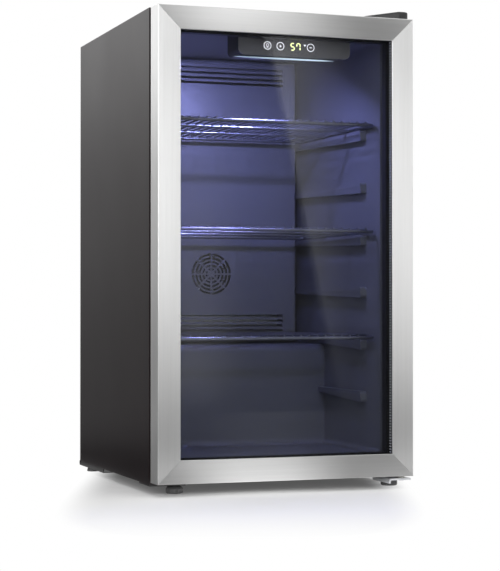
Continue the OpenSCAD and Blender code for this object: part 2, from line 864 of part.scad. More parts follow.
shelf_x = in_x - rib_reach + shelf_bearing;
shelf_front_y = cab_front_y + shelf_setback;
shelf_back_y = shelf_front_y + shelf_d;
weld = 0.5;    // how far welded wires sink into each other
frame_bend = 12;

// The closed frame wire of a shelf that rests on the ribs at height z
module shelf_frame(z) {
    x = shelf_x - frame_wire_r;
    y0 = shelf_front_y + frame_wire_r;
    y1 = shelf_back_y - frame_wire_r;
    c = z + clear + frame_wire_r;
    pipe([[0, y0, c], [x, y0, c], [x, y1, c], [-x, y1, c], [-x, y0, c], [0, y0, c]],
         frame_wire_r, frame_bend);
}

module wire_shelf(z) {
    c = z + clear + frame_wire_r;
    x = shelf_x - frame_wire_r;
    top = c + frame_wire_r + cross_wire_r - weld;
    y0 = shelf_front_y + frame_wire_r;
    y1 = shelf_back_y - frame_wire_r;
    shelf_frame(z);
    // two carriers under the wires, end to end of the frame
    for (y = [y0 + (y1 - y0) / 3, y0 + 2 * (y1 - y0) / 3])
        rod([-x, y, c], [x, y, c], frame_wire_r - 0.5);
    for (i = [0:shelf_wires - 1]) {
        wx = -x + 2 * x * (i + 1) / (shelf_wires + 1);
        rod([wx, y0 - 1, top], [wx, y1 + 1, top], cross_wire_r);
    }
}

module top_shelf() {
    color("#d6d8dc") wire_shelf(rib_z(rib_count - 1));
}

module middle_shelf() {
    color("#d6d8dc") wire_shelf(rib_z(rib_count - 3));
}

module lower_shelf() {
    color("#d6d8dc") wire_shelf(rib_z(rib_count - 5));
}

// ---------- control box and light ----------

ctrl_y = cab_front_y + ctrl_setback;
ctrl_bot_z = in_top_z - ctrl_h;
light_x0 = ctrl_x - ctrl_w / 2 - 3;
light_d = 16;

function ctrl_outline(g) =
    rounded(rect(ctrl_x - ctrl_w / 2 + g, ctrl_bot_z + g, ctrl_x + ctrl_w / 2 - g, in_top_z),
            [ctrl_r - g, ctrl_r - g, 0, 0], 6);

module light_window(g) {
    box([light_x0 + ctrl_r + g, ctrl_y + fascia_t + 4 + g, ctrl_bot_z - 1],
        [light_x0 + light_l - 6 - g, ctrl_y + fascia_t + light_d - g, ctrl_bot_z + ctrl_wall]);
}

fascia_t = 2;
module control_housing() {
    color("#1b1c20") difference() {
        along_y(ctrl_y + fascia_t, ctrl_y + ctrl_d) polygon(ctrl_outline(0));
        along_y(ctrl_y, ctrl_y + ctrl_d - ctrl_wall) polygon(ctrl_outline(ctrl_wall));
        light_window(0);
    }
}

module control_fascia() {
    color("#232427") along_y(ctrl_y, ctrl_y + fascia_t) polygon(ctrl_outline(0));
}

display_w = 24;
display_h = 14;
display_d = 5;
key_z = ctrl_bot_z + 18;
module display_module() {
    color("#30332a") box([ctrl_x - display_w / 2, ctrl_y + fascia_t, key_z - display_h / 2],
        [ctrl_x + display_w / 2, ctrl_y + fascia_t + display_d, key_z + display_h / 2]);
}

module control_board() {
    y = ctrl_y + fascia_t + display_d;
    color("#1f5a34") {
        box([ctrl_x - ctrl_w / 2 + ctrl_r + 4, y, ctrl_bot_z + ctrl_wall + 6],
            [ctrl_x + ctrl_w / 2 - ctrl_r - 4, y + 1.6, in_top_z - 4]);
        box([ctrl_x + 50, y + 1.6, key_z - 4], [ctrl_x + 74, y + 14, key_z + 10]);
    }
}

module led_strip() {
    z = ctrl_bot_z + ctrl_wall;
    color("#f0f0ea") {
        box([light_x0 + ctrl_r + 4, ctrl_y + fascia_t + 1, z],
            [light_x0 + light_l - 4, ctrl_y + fascia_t + display_d - 1, z + 1.6]);
    }
}

module light_lens() {
    color("#cfe0ff") {
        box([light_x0, ctrl_y, ctrl_bot_z - light_h],
            [light_x0 + light_l, ctrl_y + fascia_t + light_d + 2, ctrl_bot_z]);
    }
}

// ---------- evaporator, cover and fan ----------

evap_bot_z = hump_top_z + 4;
evap_top_z = in_top_z - 2;
fan_z = in_floor_z + fan_rise;
louvre_h = 4.5;
louvre_pitch = 9;
louvres = 4;

module evaporator_cover() {
    x = evap_w / 2;
    color("#8f95a2") difference() {
        intersection() {
            along_x(-x, x) polygon(rounded(rect(evap_front_y, evap_bot_z, in_back_y, evap_top_z), [8, 0, 0, 8]));
            food_space(-clear);
        }
        along_x(-x + evap_wall, x - evap_wall) polygon(rounded(
            rect(evap_front_y + evap_wall, evap_bot_z + evap_wall, in_back_y + 1, evap_top_z - evap_wall),
            [6, 0, 0, 6]));
        // outlet louvres along the top and inlet slots along the bottom
        for (i = [0:louvres - 1], z = [evap_top_z - 14, evap_bot_z + 14 + louvres * louvre_pitch])
            box([-x + 24, evap_front_y - 1, z - i * louvre_pitch - louvre_h],
                [x - 24, evap_front_y + evap_wall + 1, z - i * louvre_pitch]);
        fan_grille();
        line_holes(evap_bot_z - 1, evap_bot_z + evap_wall + 1);
    }
}

grille_rings = 5;
module fan_grille() {
    pitch = (fan_size / 2 - 6) / grille_rings;
    translate([0, evap_front_y, fan_z]) rotate([-90, 0, 0]) difference() {
        for (i = [1:grille_rings])
            translate([0, 0, -1]) difference() {
                cylinder(r = 4 + pitch * i, h = evap_wall + 2);
                translate([0, 0, -1]) cylinder(r = 4 + pitch * i - pitch * 0.6, h = evap_wall + 4);
            }
        for (a = [0:45:135])
            rotate([0, 0, a]) translate([-fan_size, -1.5, -2]) cube([2 * fan_size, 3, evap_wall + 4]);
    }
}

evap_plate_t = 2;
evap_plate_w = evap_w - 40;
evap_plate_y = in_back_y - evap_plate_t - 1;
evap_low_z = evap_bot_z + 50;
evap_high_z = evap_top_z - 60;
// Where the suction line meets the serpentine, under the plate's lower edge
evap_in = [-evap_plate_w / 2 + 20, evap_plate_y - tube_r + 1, evap_low_z - 28];
module evaporator_plate() {
    y = evap_plate_y;
    x = evap_plate_w / 2;
    z0 = evap_low_z - 20;
    z1 = evap_high_z + 20;
    runs = 8;
    step = (evap_high_z - evap_low_z) / (runs - 1);
    path = concat([evap_in], [for (i = [0:runs - 1], k = [0, 1])
        [(i + k) % 2 == 0 ? evap_in.x : -evap_in.x, evap_in.y, evap_low_z + i * step]]);
    color("#b9bdc2") union() {
        box([-x, y, z0], [x, y + evap_plate_t, z1]);
        pipe(path, tube_r, min(20, step / 2 - 0.5));
        for (sx = [-1, 1], z = [z0 + 6, z1 - 6])
            translate([sx * (x - 8), y, z]) rotate([-90, 0, 0]) cylinder(r = 4, h = evap_plate_t + 1);
    }
}

fan_y = evap_front_y + evap_wall;
fan_ring = 2;
hub_r = 15;
shaft_r = 1.5;
module fan_frame() {
    h = fan_size / 2;
    duct = h - fan_ring;
    color("#202124") translate([0, fan_y, fan_z]) rotate([-90, 0, 0]) {
        difference() {
            translate([-h, -h, 0]) cube([fan_size, fan_size, fan_d]);
            translate([0, 0, -1]) cylinder(r = duct, h = fan_d + 2);
            for (sx = [-1, 1], sy = [-1, 1])
                translate([sx * (h - 4.5), sy * (h - 4.5), -1]) cylinder(r = 2.2, h = fan_d + 2);
        }
        translate([0, 0, fan_d - 7]) cylinder(r = hub_r, h = 7);
        translate([0, 0, 3]) cylinder(r = shaft_r, h = fan_d - 9);
        for (a = [0:90:270])
            rotate([0, 0, a + 45]) translate([hub_r - 1, -2, fan_d - 3]) cube([duct - hub_r + 2, 4, 3]);
    }
}

fan_blades = 7;
module fan_rotor() {
    tip = fan_size / 2 - fan_ring - 1.5;
    rotor_d = fan_d - 7 - 1 - 2;
    color("#2b2d31") translate([0, fan_y + 2, fan_z]) rotate([-90, 0, 0]) difference() {
        union() {
            cylinder(r = hub_r + 1, h = rotor_d);
            intersection() {
                translate([0, 0, 0.5]) cylinder(r = tip, h = rotor_d - 1);
                for (a = [0:fan_blades - 1])
                    rotate([0, 0, a * 360 / fan_blades]) translate([hub_r - 1, 0, rotor_d / 2])
                        rotate([38, 0, 0]) translate([0, -rotor_d, -0.8]) cube([tip, 2 * rotor_d, 1.6]);
            }
        }
        translate([0, 0, -1]) cylinder(r = shaft_r + run, h = rotor_d + 2);
    }
}

// ---------- compressor bay ----------

drain_x = pot_x - 60;
drain_y = in_back_y - 20;
drain_r = 6;
// how far the tubes run past the bay's roof, and how deep the capillary dips under the drier
tube_past = 12;
tube_dip = 14;
module drain_tube() {
    color("#d8d8d4") translate([drain_x, drain_y, bay_top_z - tube_past]) difference() {
        cylinder(r = drain_r, h = hump_wall + tube_past);
        translate([0, 0, -1]) cylinder(r = drain_r - 1.4, h = hump_wall + tube_past + 8);
    }
}

pot_y = cab_back_y - 88;
pot_bot_z = base_rise + base_t + 5;
pot_top_z = pot_bot_z + pot_h;
// how far left of the compressor the two riser tubes stand
suction_off = 116;
capillary_off = 128;
suction_xy = [pot_x - suction_off, pot_y];
capillary_xy = [pot_x - capillary_off, pot_y];
coil_r = 2.4;
coil_x = half_w - sheet_t - coil_r - 0.1;
coil_in_y = cab_back_y - 63;
coil_out_y = cab_back_y - 33;

// Holes for the lines that leave the bay upwards, between two heights
module line_holes(z0, z1) {
    translate([suction_xy.x, suction_xy.y, z0]) cylinder(r = tube_r + run, h = z1 - z0);
    translate([capillary_xy.x, capillary_xy.y, z0]) cylinder(r = capillary_r + run, h = z1 - z0);
    if (z0 < bay_top_z) {
        for (y = [coil_in_y, coil_out_y])
            translate([coil_x, y, z0]) cylinder(r = coil_r + run, h = z1 - z0);
        translate([drain_x, drain_y, z0]) cylinder(r = drain_r, h = z1 - z0);
    }
}

// The hot-wall condenser behind the right side sheet: it climbs in level runs and comes down at the back
coil_levels = 5;
coil_rise = 92;
coil_bend = 12;
coil_end_z = bay_top_z - 14;
drier_x = half_w - 40;
drier_top_z = coil_end_z - 40;
drier_neck = 12;
link_h = 14;
coil_path =
    let (near = cab_front_y + 50, z0 = bay_top_z + 52)
    concat([[coil_x, coil_in_y, coil_end_z]],
        [for (i = [0:coil_levels - 1], k = [0, 1])
            [coil_x, (i + k) % 2 == 0 ? coil_in_y : near, z0 + i * coil_rise]],
        [[coil_x, near, z0 + coil_levels * coil_rise],
         [coil_x, coil_out_y, z0 + coil_levels * coil_rise],
         [coil_x, coil_out_y, drier_top_z + drier_neck + link_h],
         [drier_x, coil_out_y, drier_top_z + drier_neck + link_h],
         [drier_x, coil_out_y, drier_top_z + drier_neck]]);

module condenser_coil() {
    color("#b87333") pipe(coil_path, coil_r - 0.05, coil_bend);
}

// The hermetic pot: lower bowl, weld flange and domed lid on a foot plate
pot_wall = 3.5;
module pot_shape(g) {
    r = pot_r - g;
    z0 = pot_bot_z + g;
    z1 = pot_top_z - g;
    rotate_extrude($fn = 96) polygon(concat([[0, z0]],
        corner_arc([0, z0], [r, z0], [r, z1], 18, 5),
        corner_arc([r, z0], [r, z1], [0, z1], 34, 8), [[0, z1]]));
}

line_drop = 54;
line_z = pot_top_z - line_drop;  // where the lines leave the pot
mount_x = 62;
mount_y = 40;
foot_plate_t = 2.5;
foot_plate_z = base_rise + base_t + 11;
module mount_places() {
    for (sx = [-1, 1], sy = [-1, 1])
        translate([pot_x + sx * mount_x, pot_y + sy * mount_y, 0]) children();
}

module compressor_shell() {
    color("#18191b") difference() {
        union() {
            translate([pot_x, pot_y, 0]) {
                pot_shape(0);
                translate([0, 0, pot_bot_z + pot_h * 0.52]) cylinder(r = pot_r + 3, h = 4, $fn = 96);
                // stubs of the suction, discharge and service lines
                translate([-pot_r + 2, 0, line_z]) rotate([0, -90, 0]) cylinder(r = tube_r + 1.2, h = 12);
                translate([0, pot_r - 2, line_z]) rotate([-90, 0, 0]) cylinder(r = tube_r + 0.6, h = 10);
                rotate([0, 0, -125]) translate([pot_r - 2, 0, line_z]) rotate([0, 90, 0])
                    cylinder(r = tube_r, h = 26);
            }
            difference() {
                translate([0, 0, foot_plate_z]) linear_extrude(foot_plate_t) polygon(rounded(
                    rect(pot_x - mount_x - 14, pot_y - mount_y - 14, pot_x + mount_x + 14, pot_y + mount_y + 14),
                    [12, 12, 12, 12]));
                mount_places() cylinder(r = grommet_neck + fit, h = 60);
            }
        }
        translate([pot_x, pot_y, 0]) pot_shape(pot_wall);
        translate([pot_x - pot_r - 20, pot_y, line_z]) rotate([0, 90, 0])
            cylinder(r = tube_r + run, h = 13);
        translate([pot_x, pot_y + pot_r + 20, line_z]) rotate([90, 0, 0])
            cylinder(r = discharge_r + run, h = 15);
    }
}

module compressor_pump() {
    color("#6d6f73") translate([pot_x, pot_y, pot_bot_z + pot_wall]) {
        cylinder(r = 30, h = 12);
        translate([0, 0, 12]) cylinder(r = 46, h = pot_h * 0.34);
        translate([0, 0, 12 + pot_h * 0.34]) cylinder(r = 30, h = pot_h * 0.25);
    }
}

grommet_neck = 7;
grommet_r = 11;
module compressor_grommets() {
    z0 = base_rise + base_t;
    h = foot_plate_z - z0;
    top = foot_plate_z + foot_plate_t;
    color("#242424") mount_places() difference() {
        union() {
            translate([0, 0, z0]) cylinder(r = grommet_r, h = h);
            translate([0, 0, foot_plate_z]) cylinder(r = grommet_neck, h = foot_plate_t);
            translate([0, 0, top]) cylinder(r = grommet_r - 1, h = 5);
        }
        cylinder(r = bolt_r + run, h = 60);
    }
}

bolt_r = 3;
module compressor_bolts() {
    top = foot_plate_z + foot_plate_t + 5;
    color("#b9bcc0") mount_places() {
        translate([0, 0, base_rise - 3]) cylinder(r = bolt_r, h = top - base_rise + 6);
        translate([0, 0, top]) cylinder(r = 7, h = 1.2);
        translate([0, 0, top + 1.2]) cylinder(r = 5.6, h = 4.5, $fn = 6);
        translate([0, 0, base_rise - 3]) cylinder(r = 5.6, h = 3, $fn = 6);
    }
}

module terminal_cover() {
    z0 = pot_bot_z + 34;
    color("#1f1f21") difference() {
        translate([pot_x + pot_r - 14, pot_y - 30, z0]) cube([46, 60, 36]);
        translate([pot_x, pot_y, 0]) cylinder(r = pot_r + fit, h = cab_h, $fn = 96);
        translate([pot_x + pot_r + 8, pot_y - 22, z0 - 1]) cube([18, 44, 30]);
    }
}

flange_h = 26;
module base_plate() {
    x = half_w - sheet_t;
    y0 = bay_front_y + fit;
    z = base_rise;
    lip_r = lip_reach / 2;
    color("#c3c6ca") difference() {
        union() {
            box([-x, y0, z], [x, rear_y - lip_r, z + base_t]);
            for (s = [-1, 1])
                box([s > 0 ? x - base_t : -x, y0, z],
                    [s > 0 ? x : -x + base_t, cab_back_y - sheet_t, cab_bot_z + flange_h]);
            translate([-x, rear_y - lip_r, z + lip_r]) rotate([0, 90, 0]) cylinder(r = lip_r, h = 2 * x);
            // bracket for the cord gland
            box([gland_x - 16, gland_y - base_t, z], [gland_x + 16, gland_y, gland_z + 14]);
        }
        translate([-x - 1, rear_y - lip_r, z + lip_r]) rotate([0, 90, 0])
            cylinder(r = lip_r - base_t, h = 2 * x + 2);
        mount_places() cylinder(r = bolt_r + run, h = 60);
        rear_foot_places() cylinder(r = 3, h = 40);
        translate([gland_x, gland_y, gland_z]) rotate([90, 0, 0])
            cylinder(r = gland_r + fit, h = 20, center = true);
        // vents under the compressor
        for (i = [-3:3])
            translate([-130 + i * 12, pot_y - 30, z - 1]) cube([5, 60, base_t + 2]);
    }
}

gland_inset = 52.5;
gland_x = -half_w + gland_inset;
gland_y = cab_back_y - 6;
gland_z = base_rise + 24;
gland_r = 7;
gland_bore = 3.6;
gland_l = 16;
module cord_gland() {
    color("#161617") translate([gland_x, gland_y, gland_z]) rotate([-90, 0, 0]) difference() {
        union() {
            translate([0, 0, -gland_l / 2]) cylinder(r = gland_r, h = gland_l);
            cylinder(r = gland_r + 2.5, h = 3);
            translate([0, 0, -base_t - 3]) cylinder(r = gland_r + 2, h = 3);
        }
        translate([0, 0, -gland_l]) cylinder(r = gland_bore, h = 2 * gland_l);
    }
}

pan_w = 150;
pan_d = 96;
pan_h = 22;
pan_wall = 1.6;
module drip_pan() {
    z0 = pot_top_z;
    lo = [pot_x - pan_w / 2, pot_y - pan_d / 2];
    hi = [pot_x + pan_w / 2, pot_y + pan_d / 2];
    color("#2a2b2d") difference() {
        translate([0, 0, z0]) linear_extrude(pan_h) polygon(rounded(rect(lo.x, lo.y, hi.x, hi.y), [10, 10, 10, 10]));
        translate([0, 0, z0 + pan_wall]) linear_extrude(pan_h) polygon(rounded(
            rect(lo.x + pan_wall, lo.y + pan_wall, hi.x - pan_wall, hi.y - pan_wall),
            [for (i = [0:3]) 10 - pan_wall]));
    }
}

drier_r = 9;
drier_l = 80;
module filter_drier() {
    neck = [coil_r + 0.6, drier_neck];
    color("#b87333") translate([drier_x, coil_out_y, drier_top_z]) {
        rotate_extrude() polygon([[0, neck.y], [neck.x, neck.y], [neck.x, 2], [drier_r, -8],
            [drier_r, -drier_l + 8], [neck.x, -drier_l - 2], [neck.x, -drier_l - neck.y],
            [0, -drier_l - neck.y]]);
    }
}

discharge_r = 2.4;
module discharge_line() {
    z = line_z;
    y = pot_y + pot_r + 5.5;
    high = coil_end_z - 26;
    color("#b87333") {
        pipe([[pot_x, y, z], [pot_x, y + 12.5, z], [pot_x + 70, y + 12.5, z],
              [pot_x + 70, y + 12.5, high], [coil_x, y + 12.5, high],
              [coil_x, coil_in_y, high], [coil_x, coil_in_y, coil_end_z]],
             discharge_r - 0.05, 7);
    }
}

module suction_line() {
    z = line_z;
    color("#b87333")
        pipe([[pot_x - pot_r - 8, pot_y, z], [suction_xy.x, pot_y, z],
              [suction_xy.x, suction_xy.y, evap_in.z - tube_past],
              [suction_xy.x, evap_in.y, evap_in.z - tube_past],
              [evap_in.x, evap_in.y, evap_in.z - tube_past], evap_in], tube_r - 0.05, 9);
}

capillary_r = 1.2;
module capillary_tube() {
    z0 = drier_top_z - drier_l - drier_neck;
    y1 = coil_out_y + tube_past;
    z1 = evap_in.z - 2;
    side = -evap_plate_w / 2 - 5;
    color("#b87333")
        pipe([[drier_x, coil_out_y, z0], [drier_x, coil_out_y, z0 - tube_dip], [drier_x, y1, z0 - tube_dip],
              [capillary_xy.x, y1, z0 - tube_dip], [capillary_xy.x, y1, bay_top_z - tube_past],
              [capillary_xy.x, capillary_xy.y, bay_top_z - tube_past],
              [capillary_xy.x, capillary_xy.y, z1], [side, capillary_xy.y, z1],
              [side, evap_in.y, z1], [side, evap_in.y, evap_high_z],
              [evap_in.x, evap_in.y, evap_high_z]], capillary_r - 0.05, 5);
}

// ---------- build ----------

left_side_panel();
right_side_panel();
top_panel();
back_panel();
bottom_panel();
compartment_panel();
inner_liner();
foam_insulation();
condenser_coil();
control_housing();
control_fascia();
control_board();
display_module();
light_lens();
led_strip();
evaporator_cover();
evaporator_plate();
fan_frame();
fan_rotor();
drain_tube();
top_hinge_bracket();
top_hinge_pin();
top_hinge_cover();
top_hinge_screws();
bottom_hinge_bracket();
bottom_hinge_pin();
hinge_washer();
bottom_hinge_screws();
left_foot_plate();
rear_feet();
compressor_shell();
compressor_pump();
compressor_grommets();
compressor_bolts();
terminal_cover();
base_plate();
drip_pan();
filter_drier();
suction_line();
discharge_line();
capillary_tube();
cord_gland();
back_panel_screws();
door_trim_left();
door_trim_right();
door_trim_top();
door_trim_bottom();
door_inner_frame();
outer_glass();
inner_glass();
glass_spacer();
glazing_seal();
door_gasket();
gasket_magnets();
door_bushes();
top_shelf();
middle_shelf();
lower_shelf();
left_front_foot();
right_front_foot();
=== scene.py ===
"""A glass-door drinks fridge: brushed door bars, a double pane, chromed wire shelves and a lit inside."""

import json
import math

import bmesh
import bpy
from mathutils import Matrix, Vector

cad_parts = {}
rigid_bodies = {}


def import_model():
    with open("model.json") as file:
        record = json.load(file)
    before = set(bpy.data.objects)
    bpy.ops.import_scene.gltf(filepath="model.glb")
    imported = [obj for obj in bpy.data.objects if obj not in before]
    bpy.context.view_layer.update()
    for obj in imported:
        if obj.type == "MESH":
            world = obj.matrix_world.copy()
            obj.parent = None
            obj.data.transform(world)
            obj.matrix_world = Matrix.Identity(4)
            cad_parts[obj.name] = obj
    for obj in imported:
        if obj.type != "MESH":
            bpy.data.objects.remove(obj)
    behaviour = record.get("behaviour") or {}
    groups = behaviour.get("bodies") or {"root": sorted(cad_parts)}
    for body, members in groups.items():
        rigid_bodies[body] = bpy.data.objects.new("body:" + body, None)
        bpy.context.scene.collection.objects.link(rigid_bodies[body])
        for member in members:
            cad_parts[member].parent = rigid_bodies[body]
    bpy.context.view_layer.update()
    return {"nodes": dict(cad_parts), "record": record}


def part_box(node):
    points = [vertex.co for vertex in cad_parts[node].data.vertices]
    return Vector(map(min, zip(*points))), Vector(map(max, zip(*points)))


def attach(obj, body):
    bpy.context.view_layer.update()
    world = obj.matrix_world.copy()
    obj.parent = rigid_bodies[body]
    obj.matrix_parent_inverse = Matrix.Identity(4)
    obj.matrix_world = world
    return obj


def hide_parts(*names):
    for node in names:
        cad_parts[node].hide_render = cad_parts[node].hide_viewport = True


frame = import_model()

MM = 0.001
WHITE = (1, 1, 1, 1)

bpy.context.scene.view_settings.view_transform = "Standard"


# ---------- camera ----------

camera = bpy.data.objects.new("camera", bpy.data.cameras.new("camera"))
bpy.context.scene.collection.objects.link(camera)
bpy.context.scene.camera = camera
camera.data.sensor_width = 36
camera.data.lens = 108.25
camera.location = (-1.0025, -2.866, 0.3035)
camera.rotation_euler = (math.radians(90.70), 0, math.radians(-19.71))


# ---------- node trees ----------


class Link:
    """One output of a node tree. Arithmetic on it adds Math nodes, so a pattern reads as an expression."""

    def __init__(self, graph, socket):
        self.graph, self.socket = graph, socket

    def math(self, operation, *values):
        return self.graph.node("ShaderNodeMath", {i: v for i, v in enumerate(values)}, operation=operation)

    def __add__(self, other):
        return self.math("ADD", self, other)

    def __sub__(self, other):
        return self.math("SUBTRACT", self, other)

    def __rsub__(self, other):
        return self.math("SUBTRACT", other, self)

    def __mul__(self, other):
        return self.math("MULTIPLY", self, other)

    def __truediv__(self, other):
        return self.math("DIVIDE", self, other)

    def __pow__(self, other):
        return self.math("POWER", self, other)

    __radd__, __rmul__ = __add__, __mul__

    def __neg__(self):
        return self * -1.0

    def least(self, other):
        return self.math("MINIMUM", self, other)

    def most(self, other):
        return self.math("MAXIMUM", self, other)

    def step(self, low, high):
        """0 below low, 1 above high, smooth between."""
        inputs = {"Value": self, "From Min": low, "From Max": high}
        return self.graph.node("ShaderNodeMapRange", inputs, interpolation_type="SMOOTHSTEP")

    def hump(self, rise, fall):
        """1 between a rise and a fall, each given as its (low, high), and 0 beyond them."""
        return self.step(*rise) * (1.0 - self.step(*fall))


class Graph:
    """A node tree, written with node() alone. A list of links goes into one socket that joins them."""

    def __init__(self, tree):
        self.tree = tree

    def node(self, kind, inputs=(), out=0, **settings):
        made = self.tree.nodes.new(kind)
        for name, value in settings.items():
            setattr(made, name, value)
        for name, value in dict(inputs).items():
            if isinstance(value, Link):
                self.tree.links.new(value.socket, made.inputs[name])
            elif isinstance(value, list):
                for link in reversed(value):
                    self.tree.links.new(link.socket, made.inputs[name])
            else:
                made.inputs[name].default_value = value
        return Link(self, made.outputs[out]) if made.outputs else None


class Finish(Graph):
    """A procedural material."""

    def __init__(self, name):
        self.material = bpy.data.materials.new(name)
        self.material.use_nodes = True
        super().__init__(self.material.node_tree)
        self.tree.nodes.clear()
        self.place = self.node("ShaderNodeTexCoord", out="Object")

    def axis(self, letter):
        return self.node("ShaderNodeSeparateXYZ", {0: self.place}, out=letter)

    def stretched(self, scale):
        return self.node("ShaderNodeMapping", {"Vector": self.place, "Scale": scale})

    def noise(self, scale, detail=3.0, rough=0.5, place=None):
        inputs = {"Vector": place or self.place, "Scale": scale, "Detail": detail, "Roughness": rough}
        return self.node("ShaderNodeTexNoise", inputs, out="Fac")

    def mix(self, factor, a, b):
        """Between two (red, green, blue) colours, on the Mix node's colour sockets."""
        return self.node("ShaderNodeMix", {0: factor, 6: (*a, 1), 7: (*b, 1)}, out=2, data_type="RGBA")

    def bump(self, height, strength, depth):
        return self.node("ShaderNodeBump", {"Height": height, "Strength": strength, "Distance": depth})

    def surface(self, colour, roughness, metallic=0.0, **more):
        inputs = {"Base Color": colour if isinstance(colour, Link) else (*colour, 1)}
        inputs.update({"Roughness": roughness, "Metallic": metallic})
        inputs.update({name.replace("_", " "): value for name, value in more.items()})
        return self.node("ShaderNodeBsdfPrincipled", inputs)

    def done(self, shader):
        self.node("ShaderNodeOutputMaterial", {"Surface": shader})
        return self.material


class Recipe(Graph):
    """A geometry tree with named sizes. make() turns its result into a plain mesh."""

    def __init__(self, name, finish, **sizes):
        super().__init__(bpy.data.node_groups.new(name, "GeometryNodeTree"))
        self.finish, self.sizes, self.ids = finish, sizes, {}
        new_socket = self.tree.interface.new_socket
        new_socket("Geometry", in_out="OUTPUT", socket_type="NodeSocketGeometry")
        for label, value in sizes.items():
            kind = "NodeSocketInt" if isinstance(value, int) else "NodeSocketFloat"
            self.ids[label] = new_socket(label, in_out="INPUT", socket_type=kind).identifier

    def __getitem__(self, label):
        return self.node("NodeGroupInput", out=label)

    def point(self, x=0.0, y=0.0, z=0.0):
        return self.node("ShaderNodeCombineXYZ", {0: x, 1: y, 2: z})

    def shifted(self, geometry, x=0.0, y=0.0, z=0.0, turn=(0, 0, 0)):
        inputs = {"Geometry": geometry, "Translation": self.point(x, y, z), "Rotation": turn}
        return self.node("GeometryNodeTransform", inputs)

    def wire(self, path, radius, sides):
        """A round wire along a path, closed at its ends."""
        ring = self.node("GeometryNodeCurvePrimitiveCircle", {"Resolution": sides, "Radius": radius})
        inputs = {"Curve": path, "Profile Curve": ring, "Fill Caps": True}
        return self.node("GeometryNodeCurveToMesh", inputs)

    def straight(self, start, end):
        return self.node("GeometryNodeCurvePrimitiveLine", {"Start": start, "End": end})

    def row(self, thing, count, first, step):
        """That many copies of a thing, from the point first, a step apart."""
        line = {"Count": count, "Start Location": first, "Offset": step}
        points = self.node("GeometryNodeMeshLine", line)
        return self.node("GeometryNodeInstanceOnPoints", {"Points": points, "Instance": thing})

    def joined(self, *parts):
        return self.node("GeometryNodeJoinGeometry", {0: list(parts)})

    def result(self, geometry):
        real = self.node("GeometryNodeRealizeInstances", {0: geometry})
        painted = self.node("GeometryNodeSetMaterial", {0: real, "Material": self.finish})
        self.node("NodeGroupOutput", {0: painted})

    def make(self, name, **values):
        obj = bpy.data.objects.new(name, bpy.data.meshes.new(name))
        bpy.context.scene.collection.objects.link(obj)
        modifier = obj.modifiers.new("recipe", "NODES")
        modifier.node_group = self.tree
        for label, value in {**self.sizes, **values}.items():
            modifier[self.ids[label]] = value
        return settled(obj)


def settled(obj):
    """The object with what its modifiers make as its own plain mesh."""
    ready = obj.evaluated_get(bpy.context.evaluated_depsgraph_get())
    mesh = bpy.data.meshes.new_from_object(ready)
    obj.modifiers.clear()
    obj.data = mesh
    return obj


# ---------- finishes ----------


def brushed_steel(name, along, turn, base_rough):
    """Stainless sheet brushed along x or z: fine scratches, soft bands, and a sheen across the grain."""
    f = Finish(name)

    def streaks(lengthwise, across):
        scale = (lengthwise, across, across) if along == "x" else (across, across, lengthwise)
        return f.stretched(scale)

    scratches = f.noise(1.0, 3.0, 0.65, streaks(60, 2600))
    bands = f.noise(1.0, 2.0, 0.5, streaks(5, 240))
    colour = f.mix(bands * 0.6 + scratches * 0.4, (0.66, 0.66, 0.655), (0.80, 0.80, 0.80))
    rough = base_rough + scratches * 0.06 + bands * 0.03
    relief = f.bump(scratches, 0.06, 0.00002)
    return f.done(f.surface(colour, rough, 1.0, Normal=relief, Anisotropic=1.0, Anisotropic_Rotation=turn))


def painted(name, colour, rough, grain=900, height=0.00004, **more):
    """Powder coat with a fine orange peel and faint cloudy variation."""
    f = Finish(name)
    peel = f.noise(grain, 2.0)
    cloud = f.noise(6.0, 3.0)
    tone = f.mix(cloud, [c * 0.9 for c in colour], [c * 1.12 for c in colour])
    return f.done(f.surface(tone, rough + cloud * 0.08, Normal=f.bump(peel, 0.25, height), **more))


def moulded(name, colour, rough, grain=1400, height=0.00003, **more):
    """Moulded plastic with a fine spark texture."""
    f = Finish(name)
    spark = f.noise(grain, 3.0, 0.6)
    cloud = f.noise(9.0, 2.0)
    tone = f.mix(cloud, [c * 0.92 for c in colour], [c * 1.08 for c in colour])
    return f.done(f.surface(tone, rough + spark * 0.06, Normal=f.bump(spark, 0.3, height), **more))


def bare_metal(name, colour, rough, spangle=60.0, metal=1.0):
    """Plated or rolled metal with a faint spangle."""
    f = Finish(name)
    cells = f.node("ShaderNodeTexVoronoi", {"Vector": f.place, "Scale": spangle}, out="Color")
    grey = f.node("ShaderNodeSeparateXYZ", {0: cells}, out="X")
    tone = f.mix(grey, [c * 0.88 for c in colour], colour)
    return f.done(f.surface(tone, rough + grey * 0.1, metal))


def copper():
    """Drawn tube with darker stains."""
    f = Finish("drawn_copper")
    stain = f.noise(35.0, 4.0, 0.6)
    tone = f.mix(stain.step(0.45, 0.7), (0.72, 0.33, 0.18), (0.36, 0.15, 0.09))
    return f.done(f.surface(tone, 0.25 + stain * 0.25, 1.0))


def clear_glass():
    """A tinted pane with a low-glare coat, clear face on and shinier at a shallow angle."""
    f = Finish("pane_glass")
    face_on = 0.0123
    aslant = f.node("ShaderNodeLayerWeight", {"Blend": 0.5}, out="Facing")
    shine = aslant ** 5.0 * (1.0 - face_on) + face_on
    clear = f.node("ShaderNodeBsdfTransparent", {"Color": (0.92, 0.925, 0.935, 1)})
    gloss = f.node("ShaderNodeBsdfAnisotropic", {"Color": WHITE, "Roughness": 0.01})
    return f.done(f.node("ShaderNodeMixShader", {0: shine, 1: clear, 2: gloss}))


def lit(f, colour, strength):
    """A grey body that gives light of a colour."""
    return f.done(f.surface((0.5, 0.5, 0.5), 0.4, Emission_Color=colour, Emission_Strength=strength))


